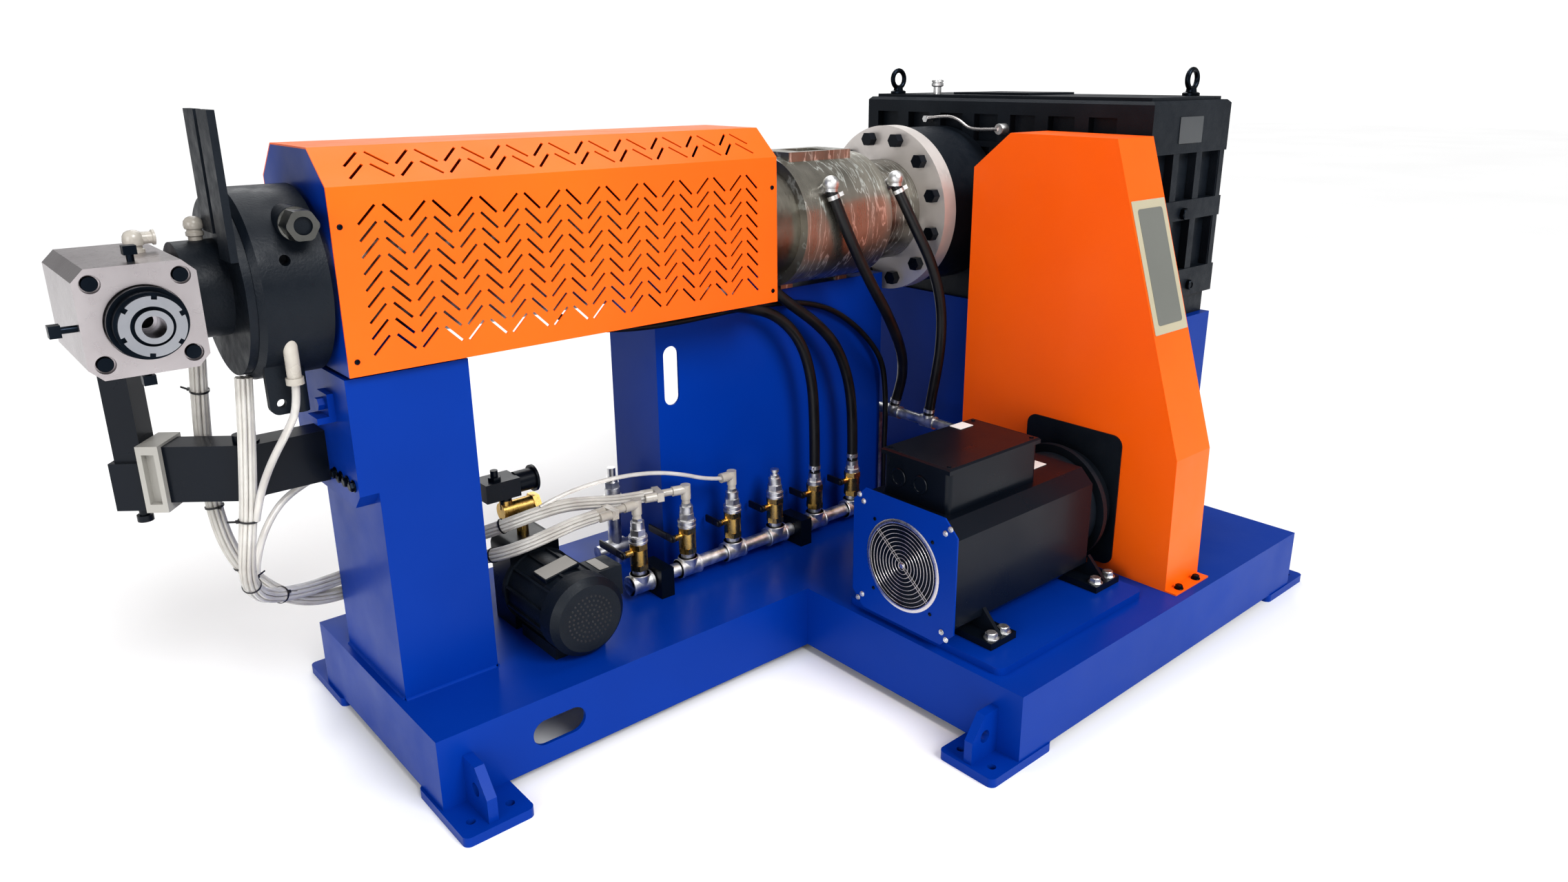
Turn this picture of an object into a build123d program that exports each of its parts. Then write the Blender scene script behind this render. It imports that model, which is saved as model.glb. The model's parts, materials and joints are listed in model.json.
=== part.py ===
from build123d import *
import os
from math import atan2, cos, degrees, radians, sin, sqrt, tan

os.makedirs("parts", exist_ok=True)

# Plastic extruder, all sizes in millimetres.
# The floor is z = 0, the barrel lies along X with the head at -X,
# and the drive motor stands on the -Y side.

# Barrel line
AX_Y = 287
AX_Z = 1000

# Base frame
BASE_X0 = -889
BASE_X1 = 1238
LIMB_Y0 = -38
LIMB_Y1 = 579
STEP_X = 44
PLAT_Y0 = -673
BASE_Z0 = 20
BASE_Z1 = 170
BASE_WALL = 8

# Front pillar
PIL_X0 = -872
PIL_X1 = -675
PIL_Y0 = 136
PIL_Y1 = 438
PIL_Z1 = 835
FRONT_PLATE_T = 36

# Barrel cover, which follows the barrel's radius
BARREL_R = 135
COVER_GAP = 31
COVER_UNDER = 24
COV_X0 = -902
COV_X1 = 92
COV_HALF = BARREL_R + COVER_GAP
COV_Z0 = AX_Z - BARREL_R - COVER_UNDER
COV_Z1 = 1172
COV_TOP = 1234
COV_FLAT = 97
SHEET = 3

# Feed section, flange, hub and gearbox
FEED_X0 = 194
FEED_R = 160
FEED_X1 = 484
FEED_NECK_R = 132
FLANGE_X0 = 618
FLANGE_X1 = 662
FLANGE_R = 219
FLANGE_PCD = 377
HUB_R = 211
GB_X0 = 852
GB_X1 = 1214
GB_Y0 = -364
GB_Y1 = 580
GB_Z0 = 743
GB_Z1 = 1286

# Head
HEAD_X0 = -1282
HEAD_X1 = -1112
HEAD_Y0 = 130
HEAD_Y1 = 388
HEAD_Z = 990
HEAD_H = 173
HEAD_CHAMFER = 19
DIE_X = -1193
DIE_Z = 986
DIE_SEAT_R = 59
DIE_SEAT = 14
NOZZLE_R = 26
DIE_BORE_R = 17
CHANNEL_R = 12
NECK_R = 84
CLAMP_STEP = 3
CLAMP_X0 = -1032
CLAMP_X1 = -912
CLAMP_R = COV_HALF + CLAMP_STEP
CLAMP_RING = 14

# Belt guard
GUARD_X0 = 664
GUARD_X1 = 814

# Main motor
MOT_Y = -330
MOT_Z = 331
MOT_X0 = 59
MOT_X1 = 542
MOT_HALF = 148
MOT_Z0 = 203
SLIDE_T = 17

# Manifold
PIPE_Y = 192
PIPE_Z = 208
PIPE_R = 17
STACK_X0 = -280
STACK_STEP = 139.5
LEVER_Z = 291

# Barrel stand and gearbox pedestal
STAND_X0 = -166
STAND_X1 = 585
STAND_Y0 = 255
STAND_Y1 = 450
STAND_Z1 = 833
STAND_T = 5
PED_Z1 = 735

# Return pipe for the feed section's cooling water
RETURN_X = 616
RETURN_Z = 436
RETURN_R = 14


def block(x0, x1, y0, y1, z0, z1, mode=Mode.ADD):
    with Locations(((x0 + x1) / 2, (y0 + y1) / 2, (z0 + z1) / 2)):
        Box(x1 - x0, y1 - y0, z1 - z0, mode=mode)


def rod_x(x0, x1, y, z, r, mode=Mode.ADD):
    with Locations(Location(((x0 + x1) / 2, y, z), (0, 90, 0))):
        Cylinder(r, x1 - x0, mode=mode)


def rod_y(y0, y1, x, z, r, mode=Mode.ADD):
    with Locations(Location((x, (y0 + y1) / 2, z), (90, 0, 0))):
        Cylinder(r, y1 - y0, mode=mode)


def rod_z(z0, z1, x, y, r, mode=Mode.ADD):
    with Locations((x, y, (z0 + z1) / 2)):
        Cylinder(r, z1 - z0, mode=mode)


def hex_x(x0, x1, y, z, across, mode=Mode.ADD):
    with BuildSketch(Plane.YZ.offset(x0)) as profile:
        with Locations((y, z)):
            RegularPolygon(across / 2, 6, major_radius=False)
    extrude(profile.sketch, amount=x1 - x0, mode=mode)


def hex_z(z0, z1, x, y, across, mode=Mode.ADD):
    with BuildSketch(Plane.XY.offset(z0)) as profile:
        with Locations((x, y)):
            RegularPolygon(across / 2, 6, major_radius=False)
    extrude(profile.sketch, amount=z1 - z0, mode=mode)


def hex_y(y0, y1, x, z, across, mode=Mode.ADD):
    with BuildSketch(Plane.XZ.offset(-y1)) as profile:
        with Locations((x, z)):
            RegularPolygon(across / 2, 6, major_radius=False)
    extrude(profile.sketch, amount=y1 - y0, mode=mode)


def save(node, name):
    node.part.label = name
    export_step(node.part, "parts/" + name + ".step")


# Base frame: a long limb under the barrel, open below, with a slot in its front wall.
with BuildPart() as base_limb:
    block(BASE_X0, BASE_X1, LIMB_Y0, LIMB_Y1, BASE_Z0, BASE_Z1)
    block(BASE_X0 + BASE_WALL, BASE_X1 - BASE_WALL, LIMB_Y0 + BASE_WALL, LIMB_Y1 - BASE_WALL,
          BASE_Z0, BASE_Z1 - BASE_WALL, Mode.SUBTRACT)
    with BuildSketch(Plane.XZ.offset(-LIMB_Y0 + 20)):
        with Locations((-634, 92)):
            SlotOverall(119, 56)
    extrude(amount=-60, mode=Mode.SUBTRACT)
save(base_limb, "base_limb")

# The wide platform in front of the limb carries the motor.
with BuildPart() as base_platform:
    block(STEP_X, BASE_X1, PLAT_Y0, LIMB_Y0, BASE_Z0, BASE_Z1)
    block(STEP_X + BASE_WALL, BASE_X1 - BASE_WALL, PLAT_Y0 + BASE_WALL, LIMB_Y0 - BASE_WALL,
          BASE_Z0, BASE_Z1 - BASE_WALL, Mode.SUBTRACT)
save(base_platform, "base_platform")


# Foot plates with lifting lugs, two bolt holes in each plate.
def foot_long(x0, face_y, side):
    x1 = x0 + 143
    y_out = face_y + side * 105
    y_in = face_y - side * 104
    xm = (x0 + x1) / 2
    with BuildSketch() as profile:
        with Locations((xm, (y_out + y_in) / 2)):
            RectangleRounded(143, 209, 14)
        with Locations((xm - 40, face_y + side * 62), (xm + 40, face_y + side * 62)):
            Circle(9, mode=Mode.SUBTRACT)
    extrude(profile.sketch, amount=BASE_Z0)
    with BuildSketch(Plane.YZ.offset(xm - 18)) as profile:
        with Locations((face_y + side * 46, BASE_Z0 + 50)):
            Rectangle(92, 100)
            Circle(14, mode=Mode.SUBTRACT)
    extrude(profile.sketch, amount=20)
    with BuildSketch(Plane.YZ.offset(xm - 18)) as profile:
        with BuildLine():
            Polyline(
                (face_y + side * 92, BASE_Z0 + 100),
                (face_y + side * 50, BASE_Z0 + 100),
                (face_y + side * 92, BASE_Z0 + 50),
                close=True,
            )
        make_face()
    extrude(profile.sketch, amount=20, mode=Mode.SUBTRACT)


def foot_end(face_x, y0, side):
    y1 = y0 + 141
    x_out = face_x + side * 88
    x_in = face_x - side * 112
    ym = (y0 + y1) / 2
    with BuildSketch() as profile:
        with Locations(((x_out + x_in) / 2, ym)):
            RectangleRounded(200, 141, 14)
        with Locations((face_x + side * 52, ym - 40), (face_x + side * 52, ym + 40)):
            Circle(9, mode=Mode.SUBTRACT)
    extrude(profile.sketch, amount=BASE_Z0)
    with BuildSketch(Plane.XZ.offset(-ym - 10)) as profile:
        with Locations((face_x + side * 40, BASE_Z0 + 50)):
            Rectangle(80, 100)
            Circle(14, mode=Mode.SUBTRACT)
    extrude(profile.sketch, amount=20)
    with BuildSketch(Plane.XZ.offset(-ym - 10)) as profile:
        with BuildLine():
            Polyline(
                (face_x + side * 80, BASE_Z0 + 100),
                (face_x + side * 44, BASE_Z0 + 100),
                (face_x + side * 80, BASE_Z0 + 50),
                close=True,
            )
        make_face()
    extrude(profile.sketch, amount=20, mode=Mode.SUBTRACT)


with BuildPart() as foot_plates:
    foot_long(-895, LIMB_Y0, -1)
    foot_long(-895, LIMB_Y1, 1)
    foot_end(STEP_X, -676, -1)
    foot_end(BASE_X1, -676, 1)
    foot_end(BASE_X1, 438, 1)
save(foot_plates, "foot_plates")

# Front pillar under the head end of the cover, with the saddle that holds the barrel.
SADDLE_HALF = 90
with BuildPart() as front_pillar:
    block(PIL_X0, PIL_X1, PIL_Y0, PIL_Y1, BASE_Z1, PIL_Z1)
    block(PIL_X0 + 8, PIL_X1 - 8, PIL_Y0 + 8, PIL_Y1 - 8, BASE_Z1, PIL_Z1 - 12, Mode.SUBTRACT)
    block(PIL_X0 + 12, PIL_X1 - 12, AX_Y - SADDLE_HALF, AX_Y + SADDLE_HALF, PIL_Z1, AX_Z - BARREL_R * 0.7)
    rod_x(PIL_X0 - 10, PIL_X1 + 10, AX_Y, AX_Z, BARREL_R, Mode.SUBTRACT)
save(front_pillar, "front_pillar")

PLATE_Z0 = 582
with BuildPart() as pillar_front_plate:
    with BuildSketch(Plane.YZ.offset(PIL_X0 - FRONT_PLATE_T)):
        with BuildLine():
            Polyline(
                (PIL_Y0, PLATE_Z0 + 30),
                (PIL_Y0 + 30, PLATE_Z0),
                (PIL_Y1 - 30, PLATE_Z0),
                (PIL_Y1, PLATE_Z0 + 30),
                (PIL_Y1, PIL_Z1),
                (PIL_Y0, PIL_Z1),
                close=True,
            )
        make_face()
    extrude(amount=FRONT_PLATE_T)
    block(PIL_X0 - FRONT_PLATE_T - 34, PIL_X0 - FRONT_PLATE_T, 206, 256, 742, 754)
    block(PIL_X0 - FRONT_PLATE_T - 12, PIL_X0 - FRONT_PLATE_T, 206, 256, 754, 796)
    hex_x(PIL_X0 - FRONT_PLATE_T - 24, PIL_X0 - FRONT_PLATE_T - 12, 231, 775, 22)
save(pillar_front_plate, "pillar_front_plate")

# Support arm in two links, end bracket and post under the crosshead.
ARM_X = -1046
ARM_Y = 316
ARM_Z = 655
ARM_W = 60
LINK_TURN = 141
LINK_LEN = 130
BRACKET_W = 40
POST_W = 50
LINK_PLACE = Location((ARM_X, ARM_Y, ARM_Z), (0, 0, LINK_TURN))
with BuildPart() as support_arm:
    block(ARM_X, PIL_X0 - FRONT_PLATE_T, ARM_Y - ARM_W / 2, ARM_Y + ARM_W / 2, ARM_Z - 50, ARM_Z + 50)
    with Locations(LINK_PLACE):
        with Locations((LINK_LEN / 2, 0, 0)):
            Box(LINK_LEN, ARM_W, 108)
        Cylinder(ARM_W / 2, 108)
        with Locations((0, 0, 60)):
            Cylinder(15, 14)
save(support_arm, "support_arm")

with BuildPart() as arm_end_bracket:
    with Locations(LINK_PLACE):
        with Locations((LINK_LEN + BRACKET_W / 2, 0, -5)):
            Box(BRACKET_W, 84, 128)
        with Locations((LINK_LEN + BRACKET_W / 2, -42, -5), (LINK_LEN + BRACKET_W / 2, 42, -5)):
            Box(BRACKET_W - 18, 30, 96, mode=Mode.SUBTRACT)
save(arm_end_bracket, "arm_end_bracket")

with BuildPart() as support_post:
    with Locations(LINK_PLACE):
        with Locations((LINK_LEN + BRACKET_W + POST_W / 2, 0, 100)):
            Box(POST_W, POST_W, 318)
        with Locations((LINK_LEN + BRACKET_W + 29, 0, -22)):
            Box(58, 66, 92)
        with Locations((LINK_LEN + BRACKET_W + 29, 0, -78)):
            Cylinder(9, 20)
        with Locations((LINK_LEN + BRACKET_W + 29, 0, -94)):
            Cylinder(14, 12)
    block(HEAD_X0, HEAD_X1, HEAD_Y0, HEAD_Y1 + 100, HEAD_Z - HEAD_H / 2, HEAD_Z + HEAD_H, Mode.SUBTRACT)
save(support_post, "support_post")

# Barrel stand: a tall folded cabinet, open at the back, with a long slot in its front.
with BuildPart() as stand_front:
    block(STAND_X0, STAND_X1, STAND_Y0, STAND_Y0 + STAND_T, BASE_Z1, STAND_Z1)
    with BuildSketch(Plane.XZ.offset(-STAND_Y0 - 10)):
        with Locations((-125, 672)):
            SlotOverall(144, 42, rotation=90)
    extrude(amount=20, mode=Mode.SUBTRACT)
save(stand_front, "stand_front")

with BuildPart() as stand_frame:
    block(STAND_X0, STAND_X1, STAND_Y0 + STAND_T, STAND_Y1, STAND_Z1 - STAND_T, STAND_Z1)
    block(STAND_X0, STAND_X0 + STAND_T, STAND_Y0 + STAND_T, STAND_Y1, BASE_Z1, STAND_Z1 - STAND_T)
    block(STAND_X1 - STAND_T, STAND_X1, STAND_Y0 + STAND_T, STAND_Y1, BASE_Z1, STAND_Z1 - STAND_T)
save(stand_frame, "stand_frame")

# Gearbox and its pedestal.
with BuildPart() as gearbox_pedestal:
    block(GB_X0, GB_X1 - 4, GB_Y0 - 10, LIMB_Y1 - 10, BASE_Z1, PED_Z1)
    block(GB_X0 + 10, GB_X1 - 14, GB_Y0, LIMB_Y1 - 20, BASE_Z1, PED_Z1 - 15, Mode.SUBTRACT)
save(gearbox_pedestal, "gearbox_pedestal")

# Cast housing: three flange bands with ribs between them, pockets in the top band, and a lid.
BAND_2 = 1043
BAND_3 = 864
TOP_BAND_Z0 = 1160
RIB_T = 28
RIB_IN = 24
with BuildPart() as gearbox_housing:
    block(GB_X0 + RIB_IN, GB_X1 - RIB_IN, GB_Y0 + RIB_IN, GB_Y1 - RIB_IN, PED_Z1, GB_Z1 - 10)
    block(GB_X0, GB_X1 + 8, GB_Y0, GB_Y1, TOP_BAND_Z0, GB_Z1)
    chamfer(gearbox_housing.faces().sort_by(Axis.Z)[-1].edges(), length=8)
    block(GB_X0, GB_X1 + 6, GB_Y0, GB_Y1, BAND_2 - 50, BAND_2)
    block(GB_X0, GB_X1 + 7, GB_Y0, GB_Y1, BAND_3 - 72, BAND_3)
    block(GB_X0 + 12, GB_X1 - 12, GB_Y0 + 12, GB_Y1 - 12, PED_Z1, BAND_3 - 72)
    for k in range(9):
        y = GB_Y0 + RIB_T / 2 + k * (GB_Y1 - GB_Y0 - RIB_T) / 8
        block(GB_X0 + 2, GB_X0 + RIB_IN, y - RIB_T / 2, y + RIB_T / 2, BAND_3, TOP_BAND_Z0)
        block(GB_X1 - RIB_IN, GB_X1 - 2, y - RIB_T / 2, y + RIB_T / 2, BAND_3, TOP_BAND_Z0)
    for k in range(4):
        x = GB_X0 + RIB_T / 2 + k * (GB_X1 - GB_X0 - RIB_T) / 3
        block(x - RIB_T / 2, x + RIB_T / 2, GB_Y0 + 2, GB_Y0 + RIB_IN, BAND_3, TOP_BAND_Z0)
        block(x - RIB_T / 2, x + RIB_T / 2, GB_Y1 - RIB_IN, GB_Y1 - 2, BAND_3, TOP_BAND_Z0)
    for k in range(7):
        y = GB_Y1 - 80 - k * 121
        block(GB_X0, GB_X0 + RIB_IN, y - 40, y + 40, TOP_BAND_Z0 + 15, GB_Z1 - 40, Mode.SUBTRACT)
    block(GB_X0 + 20, GB_X1 - 12, GB_Y0 + 20, GB_Y1 - 20, GB_Z1, GB_Z1 + 8)
    block(GB_X0 + 80, GB_X1 - 72, 60, 320, GB_Z1 + 8, GB_Z1 + 14)
save(gearbox_housing, "gearbox_housing")

# Eye bolts, breather, oil level plug, drain plug and the round union of the lube pipe.
LID_Z = GB_Z1 + 8
LUBE_Y = 72
LUBE_Z = 1209
with BuildPart() as gearbox_fittings:
    for x, y in ((900, 506), (1170, -277)):
        rod_z(LID_Z, LID_Z + 8, x, y, 22)
        rod_z(LID_Z + 8, LID_Z + 16, x, y, 14)
        with BuildSketch(Plane.XZ.offset(-y - 7)) as eye:
            with Locations((x, LID_Z + 41)):
                Circle(31)
                Circle(16, mode=Mode.SUBTRACT)
        extrude(eye.sketch, amount=14)
    rod_z(LID_Z, LID_Z + 22, 900, 354, 11)
    rod_z(LID_Z + 22, LID_Z + 40, 900, 354, 17)
    hex_y(GB_Y0 - 12, GB_Y0, 1032, 1010, 26)
    rod_y(GB_Y0 - 10, GB_Y0, 1098, 820, 13)
    rod_x(GB_X0 - 30, GB_X0, LUBE_Y, LUBE_Z, 15)
    rod_x(GB_X0 - 28, GB_X0, 330, LUBE_Z + 20, 9)
    with BuildLine() as route:
        FilletPolyline(
            (GB_X0 - 23, 342, LUBE_Z + 20),
            (GB_X0 - 23, 240, LUBE_Z + 32),
            (GB_X0 - 23, 165, LUBE_Z - 4),
            (GB_X0 - 23, LUBE_Y - 8, LUBE_Z),
            radius=40,
        )
    with BuildSketch(Plane(origin=route.line @ 0, z_dir=route.line % 0)) as tube:
        Circle(5)
    sweep(tube.sketch, path=route.line)
save(gearbox_fittings, "gearbox_fittings")

with BuildPart() as output_hub:
    rod_x(FLANGE_X1, GB_X0, AX_Y, AX_Z, HUB_R)
save(output_hub, "output_hub")

with BuildPart() as barrel_flange:
    rod_x(FLANGE_X0, FLANGE_X1, AX_Y, AX_Z, FLANGE_R)
save(barrel_flange, "barrel_flange")

with BuildPart() as flange_bolts:
    for k in range(12):
        a = radians(15 + 30 * k)
        hex_x(FLANGE_X0 - 22, FLANGE_X0, AX_Y + FLANGE_PCD / 2 * cos(a), AX_Z + FLANGE_PCD / 2 * sin(a), 32)
save(flange_bolts, "flange_bolts")

# Feed section on two feet: a cooled sleeve with a flat pad around its opening and a narrower neck.
PAD_Z = 1170
with BuildPart() as feed_section:
    for x in (240, 430):
        block(x - 20, x + 20, AX_Y - 30, AX_Y + 110, STAND_Z1, AX_Z)
    rod_x(FEED_X0, FEED_X1, AX_Y, AX_Z, FEED_R)
    rod_x(FEED_X1 - 10, FLANGE_X0, AX_Y, AX_Z, FEED_NECK_R)
    block(221, 427, AX_Y - 62, AX_Y + 62, AX_Z, PAD_Z)
    block(274, 374, AX_Y - 38, AX_Y + 38, AX_Z + 60, PAD_Z, Mode.SUBTRACT)
save(feed_section, "feed_section")

with BuildPart() as barrel:
    rod_x(CLAMP_X1, FEED_X0, AX_Y, AX_Z, BARREL_R)
save(barrel, "barrel")

# Folded barrel cover: five flat panels and two end plates, open at the bottom.
OUT = [
    (AX_Y - COV_HALF, COV_Z0),
    (AX_Y - COV_HALF, COV_Z1),
    (AX_Y - COV_FLAT, COV_TOP),
    (AX_Y + COV_FLAT, COV_TOP),
    (AX_Y + COV_HALF, COV_Z1),
    (AX_Y + COV_HALF, COV_Z0),
]
SLOPE_LEN = sqrt((COV_HALF - COV_FLAT) ** 2 + (COV_TOP - COV_Z1) ** 2)
SLOPE_Y = (COV_HALF - COV_FLAT) / SLOPE_LEN
SLOPE_Z = (COV_TOP - COV_Z1) / SLOPE_LEN
LOW_MITRE = SHEET * (1 - SLOPE_Z) / SLOPE_Y
TOP_MITRE = SHEET * (1 - SLOPE_Y) / SLOPE_Z
INN = [
    (AX_Y - COV_HALF + SHEET, COV_Z0),
    (AX_Y - COV_HALF + SHEET, COV_Z1 - LOW_MITRE),
    (AX_Y - COV_FLAT + TOP_MITRE, COV_TOP - SHEET),
    (AX_Y + COV_FLAT - TOP_MITRE, COV_TOP - SHEET),
    (AX_Y + COV_HALF - SHEET, COV_Z1 - LOW_MITRE),
    (AX_Y + COV_HALF - SHEET, COV_Z0),
]


def panel(k):
    with BuildSketch(Plane.YZ.offset(COV_X0)) as profile:
        with BuildLine():
            Polyline(OUT[k], OUT[k + 1], INN[k + 1], INN[k], close=True)
        make_face()
    extrude(profile.sketch, amount=COV_X1 - COV_X0)


# Chevron slots: ten peaks along each side in nine rows, and two rows on the slope above.
CHEV_N = 10
CHEV_ROWS = 9
CHEV_X0 = -816
CHEV_Z0 = 1122
CHEV_PITCH = 90.2
CHEV_ROW = 28.9
CHEV_LEN = 45
CHEV_W = 5
CHEV_GAP = 14


def chevrons(plane, rows, top):
    with BuildSketch(plane) as profile:
        for r in range(rows):
            for k in range(CHEV_N):
                x = CHEV_X0 + CHEV_PITCH * k
                z = top - CHEV_ROW * r
                reach = CHEV_GAP / 2 + CHEV_LEN * 0.35
                with Locations(Location((x - reach, z, 0), (0, 0, 45))):
                    Rectangle(CHEV_LEN, CHEV_W)
                with Locations(Location((x + reach, z, 0), (0, 0, -45))):
                    Rectangle(CHEV_LEN, CHEV_W)
    extrude(profile.sketch, amount=30, both=True, mode=Mode.SUBTRACT)


with BuildPart() as cover_sides:
    panel(0)
    panel(4)
    chevrons(Plane.XZ.offset(-(AX_Y - COV_HALF)), CHEV_ROWS, CHEV_Z0)
save(cover_sides, "cover_sides")

SLOPE_PLANE = Plane(
    origin=(0, AX_Y - COV_HALF, COV_Z1),
    x_dir=(1, 0, 0),
    z_dir=(0, -SLOPE_Z, SLOPE_Y),
)
with BuildPart() as cover_slopes:
    panel(1)
    panel(3)
    chevrons(SLOPE_PLANE, 2, SLOPE_LEN / 2 + CHEV_ROW / 2)
save(cover_slopes, "cover_slopes")

with BuildPart() as cover_top:
    panel(2)
save(cover_top, "cover_top")


def end_plate(x0):
    with BuildSketch(Plane.YZ.offset(x0)) as profile:
        with BuildLine():
            Polyline(*INN, close=True)
        make_face()
        with Locations((AX_Y, AX_Z)):
            Circle(BARREL_R, mode=Mode.SUBTRACT)
    extrude(profile.sketch, amount=SHEET)


with BuildPart() as cover_ends:
    end_plate(COV_X0)
    end_plate(COV_X1 - SHEET)
save(cover_ends, "cover_ends")

# Head: clamp with a nut boss, a front ring, a lug with its bolt and two flat handle bars.
NUT_X = -951
NUT_Y = AX_Y - CLAMP_R * 0.87
NUT_Z = AX_Z + CLAMP_R * 0.68
LUG_Z = AX_Z - CLAMP_R - 48
BAR_X1 = CLAMP_X0 - CLAMP_RING
with BuildPart() as clamp_housing:
    rod_x(CLAMP_X0, CLAMP_X1, AX_Y, AX_Z, CLAMP_R)
    chamfer(clamp_housing.edges().filter_by(GeomType.CIRCLE).sort_by(Axis.X)[0], length=10)
    rod_y(NUT_Y, AX_Y, NUT_X, NUT_Z, 29)
    hex_y(NUT_Y - 40, NUT_Y, NUT_X, NUT_Z, 48)
    rod_y(NUT_Y - 42, NUT_Y - 34, NUT_X, NUT_Z, 15, Mode.SUBTRACT)
    rod_y(NUT_Y - 40, NUT_Y + 12, NUT_X - 28, NUT_Z - 57, 9, Mode.SUBTRACT)
    block(-1024, -968, 178, 192, LUG_Z, AX_Z)
    fillet(clamp_housing.edges().filter_by(Axis.Y).group_by(Axis.Z)[0], 16)
    rod_y(170, 200, -1004, LUG_Z + 20, 8, Mode.SUBTRACT)
    rod_z(LUG_Z - 6, AX_Z - CLAMP_R * 0.7, -966, 206, 15)
    rod_x(BAR_X1, CLAMP_X0, AX_Y, AX_Z, CLAMP_R - 12)
    rod_x(BAR_X1, CLAMP_X0, AX_Y, AX_Z, NECK_R, Mode.SUBTRACT)
    block(BAR_X1 - 12, BAR_X1, AX_Y - 65, AX_Y - 3, AX_Z + 100, AX_Z + 300)
    block(BAR_X1 - 12, BAR_X1, AX_Y - 145, AX_Y - 83, AX_Z + 60, AX_Z + 300)
save(clamp_housing, "clamp_housing")

with BuildPart() as adapter_neck:
    rod_x(HEAD_X1, CLAMP_X0, AX_Y, AX_Z, NECK_R)
save(adapter_neck, "adapter_neck")

with BuildPart() as crosshead_block:
    block(HEAD_X0, HEAD_X1, HEAD_Y0, HEAD_Y1, HEAD_Z - HEAD_H / 2, HEAD_Z + HEAD_H / 2)
    chamfer(crosshead_block.edges().filter_by(Axis.Y), length=HEAD_CHAMFER)
    rod_y(HEAD_Y0, HEAD_Y0 + DIE_SEAT, DIE_X, DIE_Z, DIE_SEAT_R, Mode.SUBTRACT)
    rod_y(HEAD_Y0, HEAD_Y1 - 40, DIE_X, DIE_Z, CHANNEL_R, Mode.SUBTRACT)
    for x in (-1258, -1135):
        for z in (928, 1053):
            rod_y(HEAD_Y0, HEAD_Y0 + 12, x, z, 14.5, Mode.SUBTRACT)
save(crosshead_block, "crosshead_block")

# Ring nut that holds the die: a dark threaded body, a slotted front ring and the nozzle.
RING_Y = HEAD_Y0 - 32
with BuildPart() as die_ring_nut:
    rod_y(HEAD_Y0 - 14, HEAD_Y0 + DIE_SEAT, DIE_X, DIE_Z, DIE_SEAT_R - 2)
    rod_y(RING_Y, HEAD_Y0 - 14, DIE_X, DIE_Z, DIE_SEAT_R - 8)
    rod_y(RING_Y, HEAD_Y0 + DIE_SEAT, DIE_X, DIE_Z, NOZZLE_R, Mode.SUBTRACT)
save(die_ring_nut, "die_ring_nut")

with BuildPart() as die_rings:
    with BuildSketch(Plane.XZ.offset(-RING_Y)):
        with Locations((DIE_X, DIE_Z)):
            Circle(47)
            Circle(31, mode=Mode.SUBTRACT)
            with PolarLocations(46, 6, start_angle=20):
                Rectangle(9, 8, mode=Mode.SUBTRACT)
    extrude(amount=12)
    rod_y(RING_Y - 18, HEAD_Y0 + DIE_SEAT, DIE_X, DIE_Z, NOZZLE_R)
    rod_y(RING_Y - 18, HEAD_Y0 + DIE_SEAT, DIE_X, DIE_Z, DIE_BORE_R, Mode.SUBTRACT)
save(die_rings, "die_rings")

# Square headed centring bolts on three sides of the crosshead.
HEAD_TOP = HEAD_Z + HEAD_H / 2
HEAD_BOTTOM = HEAD_Z - HEAD_H / 2
with BuildPart() as centring_bolts:
    rod_z(HEAD_TOP, HEAD_TOP + 11, DIE_X, 165, 5.5)
    block(DIE_X - 9.5, DIE_X + 9.5, 155.5, 174.5, HEAD_TOP + 11, HEAD_TOP + 25)
    rod_z(HEAD_BOTTOM - 17, HEAD_BOTTOM, DIE_X, 200, 5.5)
    block(DIE_X - 9.5, DIE_X + 9.5, 190.5, 209.5, HEAD_BOTTOM - 33, HEAD_BOTTOM - 17)
    rod_x(HEAD_X0 - 22, HEAD_X0, 150, DIE_Z, 5.5)
    block(HEAD_X0 - 38, HEAD_X0 - 22, 140.5, 159.5, DIE_Z - 9.5, DIE_Z + 9.5)
    hex_z(HEAD_BOTTOM - 8, HEAD_BOTTOM, DIE_X - 38, 190, 17)
    hex_z(HEAD_BOTTOM - 8, HEAD_BOTTOM, DIE_X + 38, 190, 17)
save(centring_bolts, "centring_bolts")

# Belt guard standing in front of the gearbox.
GUARD = [
    (16, BASE_Z1),
    (16, 1124),
    (-92, 1212),
    (-390, 1210),
    (-616, 499),
    (-622, BASE_Z1),
]
with BuildPart() as belt_guard:
    with BuildSketch(Plane.YZ.offset(GUARD_X0)):
        with BuildLine():
            Polyline(*GUARD, close=True)
        make_face()
    extrude(amount=GUARD_X1 - GUARD_X0)
    offset(amount=-3, openings=belt_guard.faces().sort_by(Axis.Z)[0])
    block(GUARD_X0, GUARD_X1, -651, -622, BASE_Z1, BASE_Z1 + 4)
save(belt_guard, "belt_guard")

# Main motor with fan plate, grille, terminal box and slide plate.
with BuildPart() as motor_slide_plate:
    with BuildSketch(Plane.XY.offset(BASE_Z1)):
        with Locations((338, -373)):
            RectangleRounded(538, 448, 20)
    extrude(amount=SLIDE_T)
save(motor_slide_plate, "motor_slide_plate")

with BuildPart() as motor_body:
    block(MOT_X0, MOT_X1, MOT_Y - MOT_HALF, MOT_Y + MOT_HALF, MOT_Z0, 470)
    chamfer(motor_body.edges().filter_by(Axis.X), length=33)
save(motor_body, "motor_body")

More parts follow.
